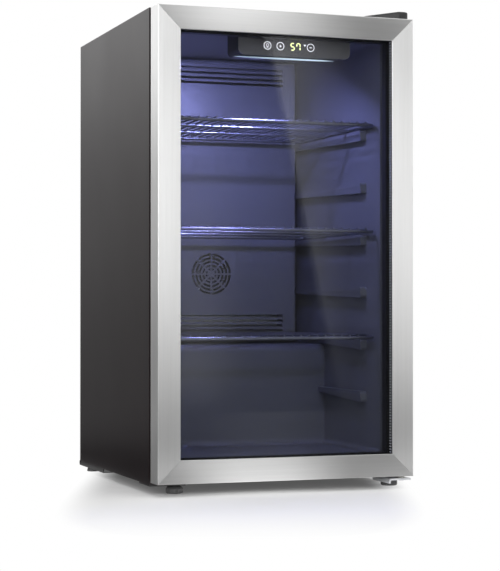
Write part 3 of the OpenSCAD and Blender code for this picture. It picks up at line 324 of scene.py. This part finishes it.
def glowing(name, colour, strength, dim=0.92):
    """A lit print or segment, a little uneven."""
    f = Finish(name)
    return lit(f, f.mix(f.noise(40.0, 1.0), [c * dim for c in colour], colour), strength)


def light_diffuser():
    """A frosted bar that glows unevenly: brighter towards the hinge side, dim at its ends."""
    f = Finish("light_diffuser")
    x = f.axis("X")
    glow = x.hump((-0.07, 0.07), (0.086, 0.106)) * 0.8 + 0.2
    return lit(f, f.mix(glow, (0.12, 0.20, 0.26), (0.68, 0.90, 1.0)), 1.0)


FINISHES = {
    "cabinet_paint": painted("cabinet_paint", (0.0135, 0.0085, 0.0100), 0.33, Specular_IOR_Level=0.52),
    "back_paint": painted("back_paint", (0.020, 0.019, 0.020), 0.5),
    "galvanised_sheet": bare_metal("galvanised_sheet", (0.62, 0.64, 0.65), 0.35),
    "liner_plastic": moulded("liner_plastic", (0.125, 0.13, 0.155), 0.34, height=0.000003),
    "foam": moulded("foam", (0.80, 0.72, 0.48), 0.9, 200, 0.0006),
    "copper_tube": copper(),
    "control_black": moulded("control_black", (0.012, 0.012, 0.015), 0.35),
    "fascia_black": moulded("fascia_black", (0.13, 0.128, 0.13), 0.22, 300, 0.000005),
    "circuit_board": moulded("circuit_board", (0.02, 0.13, 0.05), 0.4),
    "display_plastic": moulded("display_plastic", (0.03, 0.035, 0.02), 0.15),
    "light_diffuser": light_diffuser(),
    "led_tape": moulded("led_tape", (0.8, 0.8, 0.76), 0.5),
    "evaporator_aluminium": bare_metal("evaporator_aluminium", (0.78, 0.79, 0.8), 0.35, 30.0),
    "fan_plastic": moulded("fan_plastic", (0.015, 0.015, 0.017), 0.4),
    "drain_plastic": moulded("drain_plastic", (0.66, 0.66, 0.62), 0.4),
    "hinge_steel": bare_metal("hinge_steel", (0.45, 0.46, 0.47), 0.4),
    "zinc_steel": bare_metal("zinc_steel", (0.86, 0.87, 0.90), 0.38, 90.0, 0.55),
    "fastener_zinc": bare_metal("fastener_zinc", (0.72, 0.73, 0.74), 0.3, 200.0),
    "hinge_cover_black": moulded("hinge_cover_black", (0.012, 0.012, 0.013), 0.42),
    "bearing_nylon": moulded("bearing_nylon", (0.76, 0.75, 0.70), 0.4),
    "foot_black": moulded("foot_black", (0.10, 0.10, 0.102), 0.42),
    "compressor_black": painted("compressor_black", (0.010, 0.010, 0.011), 0.22, 500, 0.0001),
    "pump_iron": bare_metal("pump_iron", (0.3, 0.3, 0.31), 0.5),
    "grommet_rubber": moulded("grommet_rubber", (0.02, 0.02, 0.02), 0.7),
    "relay_plastic": moulded("relay_plastic", (0.016, 0.016, 0.018), 0.45),
    "pan_plastic": moulded("pan_plastic", (0.018, 0.018, 0.02), 0.45),
    "stainless_trim": brushed_steel("steel_stiles", "z", 0.0, 0.31),
    "door_black": moulded("door_black", (0.008, 0.008, 0.010), 0.38),
    "door_glass": clear_glass(),
    "spacer_aluminium": moulded("spacer_black", (0.02, 0.02, 0.024), 0.3),
    "seal_black": moulded("seal_black", (0.02, 0.02, 0.022), 0.55),
    "magnet_strip": moulded("magnet_strip", (0.05, 0.04, 0.035), 0.7),
    "shelf_chrome": bare_metal("shelf_chrome", (0.27, 0.28, 0.33), 0.3, 20.0),
}
RAIL_STEEL = brushed_steel("steel_rails", "x", 0.25, 0.26)
SPACER_DOT = bare_metal("spacer_dot", (0.85, 0.86, 0.90), 0.3, 60.0, 0.1)
PRINT_WHITE = glowing("print_white", (0.80, 0.80, 0.82), 1.9)
DIGIT_GREEN = glowing("digit_green", (0.86, 0.90, 0.34), 2.2, 0.85)
# The base plate, left foot plate and bottom panel get a dark sheet in place of their galvanised zinc:
# painted shade for the shade under the cabinet, not a coat the parts have.
PAINTED_SHADE_SHEET = painted("dark_coated_sheet", (0.028, 0.027, 0.028), 0.45)
PAINTED_SHADE_NODES = ("base_plate", "left_foot_plate", "bottom_panel")
for part in frame["record"]["subparts"]:
    mesh = frame["nodes"][part["node"]].data
    mesh.materials.clear()
    mesh.materials.append(PAINTED_SHADE_SHEET if part["node"] in PAINTED_SHADE_NODES else FINISHES[part["material_slot"]])


# ---------- pieces ----------

NODE_BODY = {node: body for body, nodes in frame["record"]["behaviour"]["bodies"].items() for node in nodes}
NODE_SLOT = {part["node"]: part["material_slot"] for part in frame["record"]["subparts"]}


def fitted(obj, node, replace=True, slot=None, smooth=35):
    """The piece rides with a node's body and, as a rule, stands for it."""
    obj.data.shade_smooth()
    obj.data.set_sharp_from_angle(angle=math.radians(smooth))
    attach(obj, NODE_BODY[node])
    slot or NODE_SLOT[node]
    if replace:
        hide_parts(node)
    return obj


def solid(name, verts, faces, finish):
    """A piece from points and faces, with its faces turned outwards."""
    mesh = bpy.data.meshes.new(name)
    mesh.from_pydata([tuple(v) for v in verts], [], faces)
    mesh.materials.append(finish)
    bm = bmesh.new()
    bm.from_mesh(mesh)
    bmesh.ops.remove_doubles(bm, verts=bm.verts, dist=1e-6)
    bmesh.ops.recalc_face_normals(bm, faces=bm.faces)
    bm.to_mesh(mesh)
    bm.free()
    obj = bpy.data.objects.new(name, mesh)
    bpy.context.scene.collection.objects.link(obj)
    return obj


def lofted(name, rings, finish, looped=False):
    """A skin over rings of equally many points, closed at both ends or looped back to its first ring."""
    n, count = len(rings[0]), len(rings)
    faces = [(j * n + i, j * n + (i + 1) % n, (j + 1) % count * n + (i + 1) % n, (j + 1) % count * n + i)
             for j in range(count if looped else count - 1) for i in range(n)]
    if not looped:
        faces += [tuple(range(n)), tuple(range((count - 1) * n, count * n))]
    return solid(name, [v for ring in rings for v in ring], faces, finish)


def arc(centre, radius, start, end, steps):
    """Points on an arc, angles in degrees."""
    turns = [math.radians(start + (end - start) * i / steps) for i in range(steps + 1)]
    return [(centre[0] + radius * math.cos(a), centre[1] + radius * math.sin(a)) for a in turns]


# ---------- door frame ----------

bar_lo, bar_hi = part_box("door_trim_left")
DOOR_LEFT, DOOR_RIGHT = bar_lo.x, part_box("door_trim_right")[1].x
DOOR_BOTTOM, DOOR_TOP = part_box("door_trim_bottom")[0].z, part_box("door_trim_top")[1].z
DOOR_FRONT, DOOR_BACK = bar_lo.y, bar_hi.y
RAIL = bar_hi.x - bar_lo.x
DOOR_DEEP = DOOR_BACK - DOOR_FRONT


def bar_section():
    """The folded section, outside and then inside, as (inset from the door's edge, depth)."""
    wall, bend, edge = 1 * MM, 1.6 * MM, 1.1 * MM
    lip_depth, back_flange = 1.8 * MM, 8 * MM
    outside = [(0, DOOR_DEEP)] + arc((bend, bend), bend, 180, 270, 8)
    outside += arc((RAIL - edge, edge), edge, 270, 360, 6) + [(RAIL, lip_depth)]
    inside = [(RAIL - wall, lip_depth), (RAIL - wall, wall)] + arc((bend, bend), bend - wall, 270, 180, 4)
    inside += [(wall, DOOR_DEEP - wall), (back_flange, DOOR_DEEP - wall), (back_flange, DOOR_DEEP)]
    return outside + inside


def door_bar(side, finish):
    """One of the four bars, mitred at 45 degrees with a hairline between neighbours."""
    gap = 0.1 * MM
    ends = [], []
    for inset, deep in bar_section():
        y = DOOR_FRONT + deep
        if side in ("left", "right"):
            x = DOOR_LEFT + inset if side == "left" else DOOR_RIGHT - inset
            ends[0].append((x, y, DOOR_BOTTOM + inset + gap))
            ends[1].append((x, y, DOOR_TOP - inset - gap))
        else:
            z = DOOR_BOTTOM + inset if side == "bottom" else DOOR_TOP - inset
            ends[0].append((DOOR_LEFT + inset + gap, y, z))
            ends[1].append((DOOR_RIGHT - inset - gap, y, z))
    bar = lofted("door_bar_" + side, ends, finish)
    if side in ("bottom", "top"):
        drill(bar, DOOR_BOTTOM if side == "bottom" else DOOR_TOP)
    return fitted(bar, "door_trim_" + side, smooth=28)


def drill(bar, level):
    """The hole for the hinge bush through a rail's edge at a level."""
    lo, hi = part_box("door_bushes")
    clearance, reach = 0.2 * MM, 6 * MM
    centre = (lo.x + hi.x) / 2, (lo.y + hi.y) / 2
    circle = arc(centre, (hi.x - lo.x) / 2 + clearance, 0, 360, 32)[:-1]
    rings = [[(x, y, level + d) for x, y in circle] for d in (-reach, reach)]
    cutter = lofted("cutter", rings, bar.data.materials[0])
    cut = bar.modifiers.new("hole", "BOOLEAN")
    cut.object, cut.operation, cut.solver = cutter, "DIFFERENCE", "EXACT"
    settled(bar)
    bpy.data.objects.remove(cutter)


def glazing_bead():
    """The black rubber bead between the bars and the outer pane."""
    front, back = DOOR_FRONT + 1.7 * MM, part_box("outer_glass")[0].y - 0.05 * MM
    outer, inner, bend = RAIL - 6 * MM, RAIL + 0.4 * MM, 1.0 * MM
    section = [(outer, back), (outer, front)]
    section += arc((inner - bend, front + bend), bend, 270, 360, 5) + [(inner, back)]
    corners = []
    for right, top in ((0, 0), (1, 0), (1, 1), (0, 1)):
        x, dx = (DOOR_RIGHT, -1) if right else (DOOR_LEFT, 1)
        z, dz = (DOOR_TOP, -1) if top else (DOOR_BOTTOM, 1)
        corners.append([(x + dx * inset, y, z + dz * inset) for inset, y in section])
    return lofted("glazing_bead", corners, FINISHES["seal_black"], looped=True)


fitted(glazing_bead(), "glazing_seal", smooth=40)
for side in ("left", "right"):
    door_bar(side, FINISHES["stainless_trim"])
for side in ("bottom", "top"):
    door_bar(side, RAIL_STEEL)


# ---------- hinges ----------


def rounded(corners, radii, steps=6):
    """An outline with each of its (x, y) corners rounded."""
    out = []
    corners = [Vector(corner) for corner in corners]
    for i, (corner, radius) in enumerate(zip(corners, radii)):
        back = (corners[i - 1] - corner).normalized()
        ahead = (corners[(i + 1) % len(corners)] - corner).normalized()
        half = back.angle(ahead) / 2
        centre = corner + (back + ahead).normalized() * (radius / math.sin(half))
        first, last = [corner + way * (radius / math.tan(half)) - centre for way in (back, ahead)]
        turn = first.angle_signed(last)
        for k in range(steps + 1):
            t = -turn * k / steps
            out.append((centre.x + first.x * math.cos(t) - first.y * math.sin(t),
                        centre.y + first.x * math.sin(t) + first.y * math.cos(t)))
    return out


def hinge_cover():
    """A wedge that rises to the hinge pin, slanted in plan, with rounded upper edges."""
    lo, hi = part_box("top_hinge_cover")
    low_end, roll, steps = 7 * MM, 3 * MM, 6
    slant_deep, slant_end, peak = 34 * MM, hi.x - 16 * MM, hi.x - 19 * MM
    ease = 0.14
    full = hi.z - lo.z

    def plan(inset):
        corners = [(hi.x - inset, lo.y + inset), (hi.x - inset, hi.y - inset), (lo.x + inset, hi.y - inset),
                   (lo.x + inset, lo.y + slant_deep + inset), (slant_end, lo.y + inset)]
        return rounded(corners, [radius * MM - inset / 2 for radius in (7, 5, 8, 12, 9)])

    def crown(x):
        """The top's height over the cover's foot, which eases into the peak."""
        t = max(0.0, min(1.0, (x - lo.x) / (peak - lo.x)))
        t -= max(0.0, t - (1 - ease)) ** 2 / (2 * ease)
        return min(full, low_end + (full - low_end) * t / (1 - ease / 2))

    rings = [[(x, y, lo.z) for x, y in plan(0)]]
    for k in range(steps + 1):
        a = math.radians(90 * k / steps)
        inset, drop = roll * (1 - math.cos(a)), roll * (1 - math.sin(a))
        rings.append([(x, y, lo.z + crown(x) - drop) for x, y in plan(inset)])
    rim = plan(roll)
    mid_x, mid_y = (sum(axis) / len(rim) for axis in zip(*rim))
    for shrink in (9 / 13, 5 / 13, 1 / 13):
        inner = [(mid_x + (x - mid_x) * shrink, mid_y + (y - mid_y) * shrink) for x, y in rim]
        rings.append([(x, y, lo.z + crown(x)) for x, y in inner])
    return lofted("hinge_wedge", rings, FINISHES["hinge_cover_black"])


fitted(hinge_cover(), "top_hinge_cover", smooth=50)


# ---------- glass unit ----------

SPACER = 7 * MM
UPRIGHT = (math.radians(90), 0, 0)


def spacer_bar():
    """A square bar round the unit."""
    g = Recipe("spacer_bar", FINISHES["spacer_aluminium"], Width=0.391, Height=0.71, Bar=SPACER, Deep=0.012,
               Middle_Y=-0.241, Middle_Z=0.406)
    size = {"Width": g["Width"] - g["Bar"], "Height": g["Height"] - g["Bar"]}
    path = g.node("GeometryNodeCurvePrimitiveQuadrilateral", size)
    section = g.node("GeometryNodeCurvePrimitiveQuadrilateral", {"Width": g["Bar"], "Height": g["Deep"]})
    bar = g.node("GeometryNodeCurveToMesh", {"Curve": path, "Profile Curve": section})
    g.result(g.shifted(bar, 0.0, g["Middle_Y"], g["Middle_Z"], UPRIGHT))
    return g


def spacer_dots():
    """Three rows of breathing dots along the bar's inward face."""
    g = Recipe("spacer_dots", SPACER_DOT, Width=0.377, Height=0.696, Pitch=0.0047, Dot=0.0011, Row=0.0045,
               Middle_Y=-0.241, Middle_Z=0.406)
    path = g.node("GeometryNodeCurvePrimitiveQuadrilateral", {"Width": g["Width"], "Height": g["Height"]})
    spots = g.node("GeometryNodeCurveToPoints", {"Curve": path, "Length": g["Pitch"]}, mode="LENGTH")
    bead = g.node("GeometryNodeMeshIcoSphere", {"Radius": g["Dot"], "Subdivisions": 1})
    beads = g.joined(bead, g.shifted(bead, 0.0, 0.0, g["Row"]), g.shifted(bead, 0.0, 0.0, -g["Row"]))
    dots = g.node("GeometryNodeInstanceOnPoints", {"Points": spots, "Instance": beads})
    g.result(g.shifted(dots, 0.0, g["Middle_Y"], g["Middle_Z"], UPRIGHT))
    return g


lo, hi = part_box("glass_spacer")
wide, high = hi.x - lo.x, hi.z - lo.z
middle = dict(Middle_Y=(lo.y + hi.y) / 2, Middle_Z=(lo.z + hi.z) / 2)
bar = spacer_bar().make("unit_spacer", Width=wide, Height=high, Deep=hi.y - lo.y, **middle)
fitted(bar, "glass_spacer", smooth=50)
dots = spacer_dots().make("unit_spacer_dots", Width=wide - 2 * SPACER, Height=high - 2 * SPACER, **middle)
fitted(dots, "glass_spacer", replace=False, smooth=50)


# ---------- shelves ----------


def shelf_recipe():
    """A closed frame wire with rounded corners, two carriers across it and a row of fine wires on top."""
    g = Recipe("wire_shelf", FINISHES["shelf_chrome"], Width=0.362, Depth=0.325, Frame=0.003, Wire=0.0016,
               Corner=0.012, Weld=0.0005, Overhang=0.001, Wires=23, Back=0.127, Level=0.2513)
    long_x, long_y = g["Width"] - g["Frame"] * 2.0, g["Depth"] - g["Frame"] * 2.0
    half_x, half_y = long_x * 0.5, long_y * 0.5
    outline = g.node("GeometryNodeCurvePrimitiveQuadrilateral", {"Width": long_x, "Height": long_y})
    bends = {"Curve": outline, "Radius": g["Corner"], "Count": 8}
    rim = g.wire(g.node("GeometryNodeFilletCurve", bends, mode="POLY"), g["Frame"], 14)
    carrier = g.wire(g.straight(g.point(-half_x), g.point(half_x)), g["Frame"] - g["Weld"], 12)
    carriers = g.row(carrier, 2, g.point(0.0, long_y * (-1 / 6)), g.point(0.0, long_y * (1 / 3)))
    reach = half_y + g["Overhang"]
    fine = g.wire(g.straight(g.point(0.0, -reach), g.point(0.0, reach)), g["Wire"], 10)
    step = long_x / (g["Wires"] + 1.0)
    rise = g["Frame"] + g["Wire"] - g["Weld"]
    wires = g.row(fine, g["Wires"], g.point(step - half_x, 0.0, rise), g.point(step))
    centre = g["Back"] - g["Depth"] * 0.5
    g.result(g.shifted(g.joined(rim, carriers, wires), 0.0, centre, g["Level"] + g["Frame"]))
    return g


shelf = shelf_recipe()
for node in ("top_shelf", "middle_shelf", "lower_shelf"):
    lo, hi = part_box(node)
    wires = shelf.make(node + "_wires", Width=hi.x - lo.x, Depth=hi.y - lo.y, Back=hi.y, Level=lo.z)
    fitted(wires, node)


# ---------- control box ----------

FASCIA_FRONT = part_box("control_fascia")[0].y
KEY_LEVEL = (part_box("display_module")[0].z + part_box("display_module")[1].z) / 2 - 1.5 * MM


def flat_prints(name, outlines, finish, thick=0.2 * MM):
    """Thin raised prints on the fascia, from outlines in mm from its middle at the keys' level."""
    verts, faces = [], []
    for outline in outlines:
        n, base = len(outline), len(verts)
        spots = [(x * MM, KEY_LEVEL + z * MM) for x, z in outline]
        verts += [(x, FASCIA_FRONT - thick, z) for x, z in spots] + [(x, FASCIA_FRONT, z) for x, z in spots]
        faces += [tuple(range(base, base + n)), tuple(range(base + 2 * n - 1, base + n - 1, -1))]
        faces += [(base + i, base + (i + 1) % n, base + n + (i + 1) % n, base + n + i) for i in range(n)]
    return solid(name, verts, faces, finish)


def ring(x, z, radius, line, steps=40):
    """A ring as short quads."""
    outer, inner = [arc((x, z), r, 0, 360, steps) for r in (radius, radius - line)]
    return [[outer[i], outer[i + 1], inner[i + 1], inner[i]] for i in range(steps)]


def dash(x, z, wide, high):
    """A plain bar about its middle."""
    return [(x + dx * wide / 2, z + dz * high / 2) for dx, dz in ((-1, -1), (1, -1), (1, 1), (-1, 1))]


def key_prints():
    """A lamp key, a plus key, a down mark and a minus key."""
    lamp_x, plus_x, mark_x, minus_x = -15.1, 7.8, 51.5, 62
    out = [quad for x in (lamp_x, plus_x, minus_x) for quad in ring(x, 0, 6.8, 1.1)]
    out += ring(lamp_x, 0.8, 2.6, 0.8, 20)
    out += [dash(lamp_x, -3.2, 2.4, 0.8), dash(lamp_x, -1.9, 2.8, 0.6)]
    out += [dash(plus_x, 1.5, 1.1, 1.8), dash(plus_x, -1.5, 1.1, 1.8)]
    out += [dash(x, 0, 4.6, 1.1) for x in (plus_x, minus_x)]
    out.append([(mark_x - 2.4, 4.6), (mark_x, 0.8), (mark_x + 2.4, 4.6)])
    return flat_prints("key_prints", out, PRINT_WHITE)


# Each bar of a numeral runs between two corners of a grid that is one cell wide and two high.
BARS = {
    "top": ((0, 2), (1, 2)), "middle": ((0, 1), (1, 1)), "bottom": ((0, 0), (1, 0)),
    "upper_left": ((0, 1), (0, 2)), "upper_right": ((1, 1), (1, 2)), "lower_right": ((1, 0), (1, 1)),
}
NUMERALS = {
    5: ("top", "lower_right", "bottom", "upper_left", "middle"),
    7: ("top", "upper_right", "lower_right", "upper_left"),
}


def digit(middle_x, value):
    """A lit numeral as bars with cut ends, in mm."""
    wide, high, thick, gap = 7.8, 13.4, 2.1, 0.2
    corner = Vector((middle_x - (wide - thick) / 2, (thick - high) / 2))
    bars = []
    for bar in NUMERALS[value]:
        start, end = [corner + Vector((x * (wide - thick), z * (high - thick) / 2)) for x, z in BARS[bar]]
        along = (end - start).normalized()
        side = Vector((-along.y, along.x)) * (thick / 2)
        tip, cut = along * gap, along * (gap + thick / 2)
        bars.append([start + tip, start + cut - side, end - cut - side, end - tip, end - cut + side,
                     start + cut + side])
    return bars


fitted(key_prints(), "control_fascia", replace=False)
numerals = flat_prints("display_digits", digit(29.5, 5) + digit(40, 7), DIGIT_GREEN)
fitted(numerals, "display_module", replace=False)


def boat(name, deep, top, bottom, fullness, finish):
    """A slim bar with round ends and an underside that swells in the middle, hung under the control box."""
    lo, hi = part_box("light_lens")
    middle, half = (lo.x + hi.x) / 2, (hi.x - lo.x) / 2
    back, slices, steps = hi.y - 4 * MM, 48, 12
    rings = []
    for i in range(slices + 1):
        t = -1 + 2 * i / slices
        swell = max(0.02, (1 - t * t) ** fullness)
        half_deep, drop = deep * swell / 2, (top - bottom) * swell
        outline = [(back, top)]
        for k in range(1, steps):
            a = math.pi * k / steps
            outline.append((back - half_deep + half_deep * math.cos(a), top - drop * math.sin(a)))
        outline.append((back - 2 * half_deep, top))
        rings.append([(middle + half * t, y, z) for y, z in outline])
    return lofted(name, rings, finish)


lens_lo, lens_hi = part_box("light_lens")
lit_top = lens_hi.z - 1.8 * MM
lens = boat("light_bar", 8 * MM, lit_top, lens_lo.z, 0.45, FINISHES["light_diffuser"])
fitted(lens, "light_lens", smooth=60)
holder = boat("light_bar_holder", 11 * MM, lens_hi.z, lit_top - 0.4 * MM, 0.3, FINISHES["control_black"])
fitted(holder, "light_lens", replace=False, slot="control_black", smooth=60)


# ---------- floor, background and light ----------

BRIGHTEST = 2.5
FRONT_CARD = -2.2


def seen_rays(g):
    """1 for what is seen, mirrored or seen through glass, and 0 for the light that falls on things."""
    kinds = ("Is Camera Ray", "Is Glossy Ray", "Is Transmission Ray")
    seen, mirrored, through = [g.node("ShaderNodeLightPath", out=kind) for kind in kinds]
    return (seen + mirrored + through).least(1.0)


def backdrop():
    """White where it is seen or mirrored, and a dimmer fill light for everything else."""
    world = bpy.data.worlds.new("studio")
    bpy.context.scene.world = world
    world.use_nodes = True
    g = Graph(world.node_tree)
    g.tree.nodes.clear()
    levels = (0.55, 1.0)
    fill, shown = [g.node("ShaderNodeBackground", {"Color": WHITE, "Strength": level}) for level in levels]
    mixed = g.node("ShaderNodeMixShader", {0: seen_rays(g), 1: fill, 2: shown})
    g.node("ShaderNodeOutputWorld", {0: mixed})


def floor():
    """Matt and pale round the feet, and going over into the white background further out."""
    bpy.ops.mesh.primitive_plane_add(size=24, location=(0, 0, 0))
    plane = bpy.context.object
    plane.name = "floor"
    f = Finish("pale_floor")
    x, y = f.axis("X"), f.axis("Y")
    cos_turn, sin_turn = 0.941, 0.337
    sideways, forwards = x * cos_turn - y * sin_turn, x * -sin_turn - y * cos_turn
    # How far a point is from the patch's middle, as a share of its half width and half length
    across, along = (sideways - 0.010) / 0.257, (forwards - 0.10) / 0.62

    def fourth_power(value):
        square = value * value
        return square * square

    patch = fourth_power(across) + fourth_power(along)
    fade = patch.step(0.45, 1.5).most(forwards.step(0.42, 0.83))
    white = f.node("ShaderNodeEmission", {"Color": WHITE, "Strength": 1.0})
    matt = f.surface((0.68, 0.68, 0.68), 0.6 + f.noise(3.0) * 0.05, Specular_IOR_Level=0.0,
                     Emission_Color=WHITE, Emission_Strength=0.08)
    faded = f.node("ShaderNodeMixShader", {0: fade * seen_rays(f), 1: matt, 2: white})
    plane.data.materials.append(f.done(faded))


def sheet(name, verts, faces, pattern):
    """A studio card that only shows in reflections. The pattern gives its light, from 0 to BRIGHTEST."""
    mesh = bpy.data.meshes.new(name)
    mesh.from_pydata(verts, [], faces)
    obj = bpy.data.objects.new(name, mesh)
    bpy.context.scene.collection.objects.link(obj)
    f = Finish(name)
    levels = (0.0, BRIGHTEST)
    dark, bright = [f.node("ShaderNodeEmission", {"Color": WHITE, "Strength": level}) for level in levels]
    mixed = f.node("ShaderNodeMixShader", {0: pattern(f) / BRIGHTEST, 1: dark, 2: bright})
    mesh.materials.append(f.done(mixed))
    obj.visible_camera = obj.visible_diffuse = obj.visible_shadow = obj.visible_transmission = False
    obj.visible_volume_scatter = False


def card(name, line, low, high, pattern):
    """An upright card along a line of (x, y) points."""
    verts = [(x, y, z) for z in (low, high) for x, y in line]
    n = len(line)
    sheet(name, verts, [(i, i + 1, n + i + 1, n + i) for i in range(n - 1)], pattern)


def floor_card(name, x0, x1, y0, y1, pattern):
    """A card that lies just over the floor."""
    corners = [(x, y, 4 * MM) for x, y in ((x0, y0), (x1, y0), (x1, y1), (x0, y1))]
    sheet(name, corners, [(0, 1, 2, 3)], pattern)


def sweep(across):
    """Dim at the ends of the door's rails, brightest at their middle and bright to either side."""
    middle = across.hump((0.38, 0.64), (0.70, 0.97)) * 1.45
    sides = (1.0 - across.step(0.0, 0.24)) * 1.002 + across.step(1.18, 1.42) * 1.512
    return middle, sides


def front_pattern(f):
    """Soft upright strips, dimmer below, with the slanting edge and the haze that show in the glass."""
    x, z = f.axis("X"), f.axis("Z")
    middle, sides = sweep(x)
    strips = middle * (1.0 + z.step(1.0, 1.4) * 0.75) + sides * (1.0 - z.step(0.85, 1.1) * 0.33) + 0.10
    fall = 0.28 + z.step(-0.3, 0.5) * 0.72
    in_glass = (1.0 - z.step(1.09, 1.12)) * x.step(0.40, 0.43)
    in_fascia = in_glass * z.step(0.98, 1.06)
    edge_top, edge_x, edge_lean = 1.091, 0.69, 0.2143
    left_of_edge = 1.0 - (x - edge_x - (edge_top - z) * edge_lean).step(-0.004, 0.004)
    glass_share = (1.0 + in_glass * (0.35 - left_of_edge * 1.2)) * (1.0 - in_fascia * 0.4)
    haze_height = z.step(-0.05, 0.15) * (1.0 - z.step(0.45, 1.0) * 0.8)
    haze = x.hump((0.41, 0.45), (0.45, 0.66)) * haze_height * 0.95
    return strips * fall * glass_share + haze


def low_pattern(f):
    """The same strips, fanned out over the floor towards the door."""
    x, y = f.axis("X"), f.axis("Y")
    fan_x, fan_y = -1.0, 2.35
    middle, sides = sweep((x - fan_x) / (fan_y - y) * (fan_y - FRONT_CARD) + fan_x)
    strips = (middle + sides) * 0.62 + 0.44
    return strips * (0.31 + y.step(-0.95, -0.6) * 0.52 + y.step(-0.5, -0.34) * 0.2)


def left_pattern(f):
    """Bright above and towards the front, falling to grey at the horizon."""
    x, y, z = [f.axis(letter) for letter in "XYZ"]
    panel = x.step(-1.06, -1.0) * z.step(0.0, 0.9) * 0.32
    upper = z.step(-0.3, 0.9) * 0.14 + z.step(0.75, 1.25) * 0.80
    front = (1.0 - y.step(-1.2, -0.7)) * 1.1
    return 0.03 + panel + upper + front


def back_low_pattern(f):
    """Dark beside the cabinet, and grey behind it."""
    return f.axis("Y").step(0.4, 1.2) * 0.2


def lamp(name, place, target, size, power, colour=(1, 1, 1)):
    """A rectangular lamp at a place, turned towards its target."""
    data = bpy.data.lights.new(name, "AREA")
    data.shape = "RECTANGLE"
    data.size, data.size_y = size
    data.energy = power
    data.color = colour
    obj = bpy.data.objects.new(name, data)
    bpy.context.scene.collection.objects.link(obj)
    obj.location = place
    obj.rotation_euler = (Vector(target) - Vector(place)).to_track_quat("-Z", "Y").to_euler()
    return obj


backdrop()
floor()
card("front_card", [(-1.4, FRONT_CARD), (2.8, FRONT_CARD)], 0, 5, front_pattern)
floor_card("front_floor_card", -1.6, 2.6, FRONT_CARD, -0.2, low_pattern)
card("left_card", [(-3.6, -2.4), (-3.6, 2.6), (-0.5, 2.6)], 0, 3.2, left_pattern)
floor_card("left_floor_card", -3.6, -0.24, -0.3, 2.6, back_low_pattern)
overhead = lamp("overhead", (0.0, -0.6, 2.6), (0, 0, 0.3), (2.4, 2.4), 34)
lamp("left_front", (-1.9, -2.2, 1.1), (0, 0, 0.3), (1.4, 1.6), 25)
front_fill = lamp("front_fill", (0.0, -2.6, 0.55), (0, 0, 0.35), (1.0, 1.0), 9)
overhead.visible_glossy = front_fill.visible_glossy = False
lit_from = (0.0, lens_hi.y + 10 * MM, lens_lo.z - 3 * MM)
inside = lamp("interior_light", lit_from, (-0.16, 0.12, 0.05), (0.08, 0.012), 2.8, (0.40, 0.42, 1.0))
inside.visible_camera = False
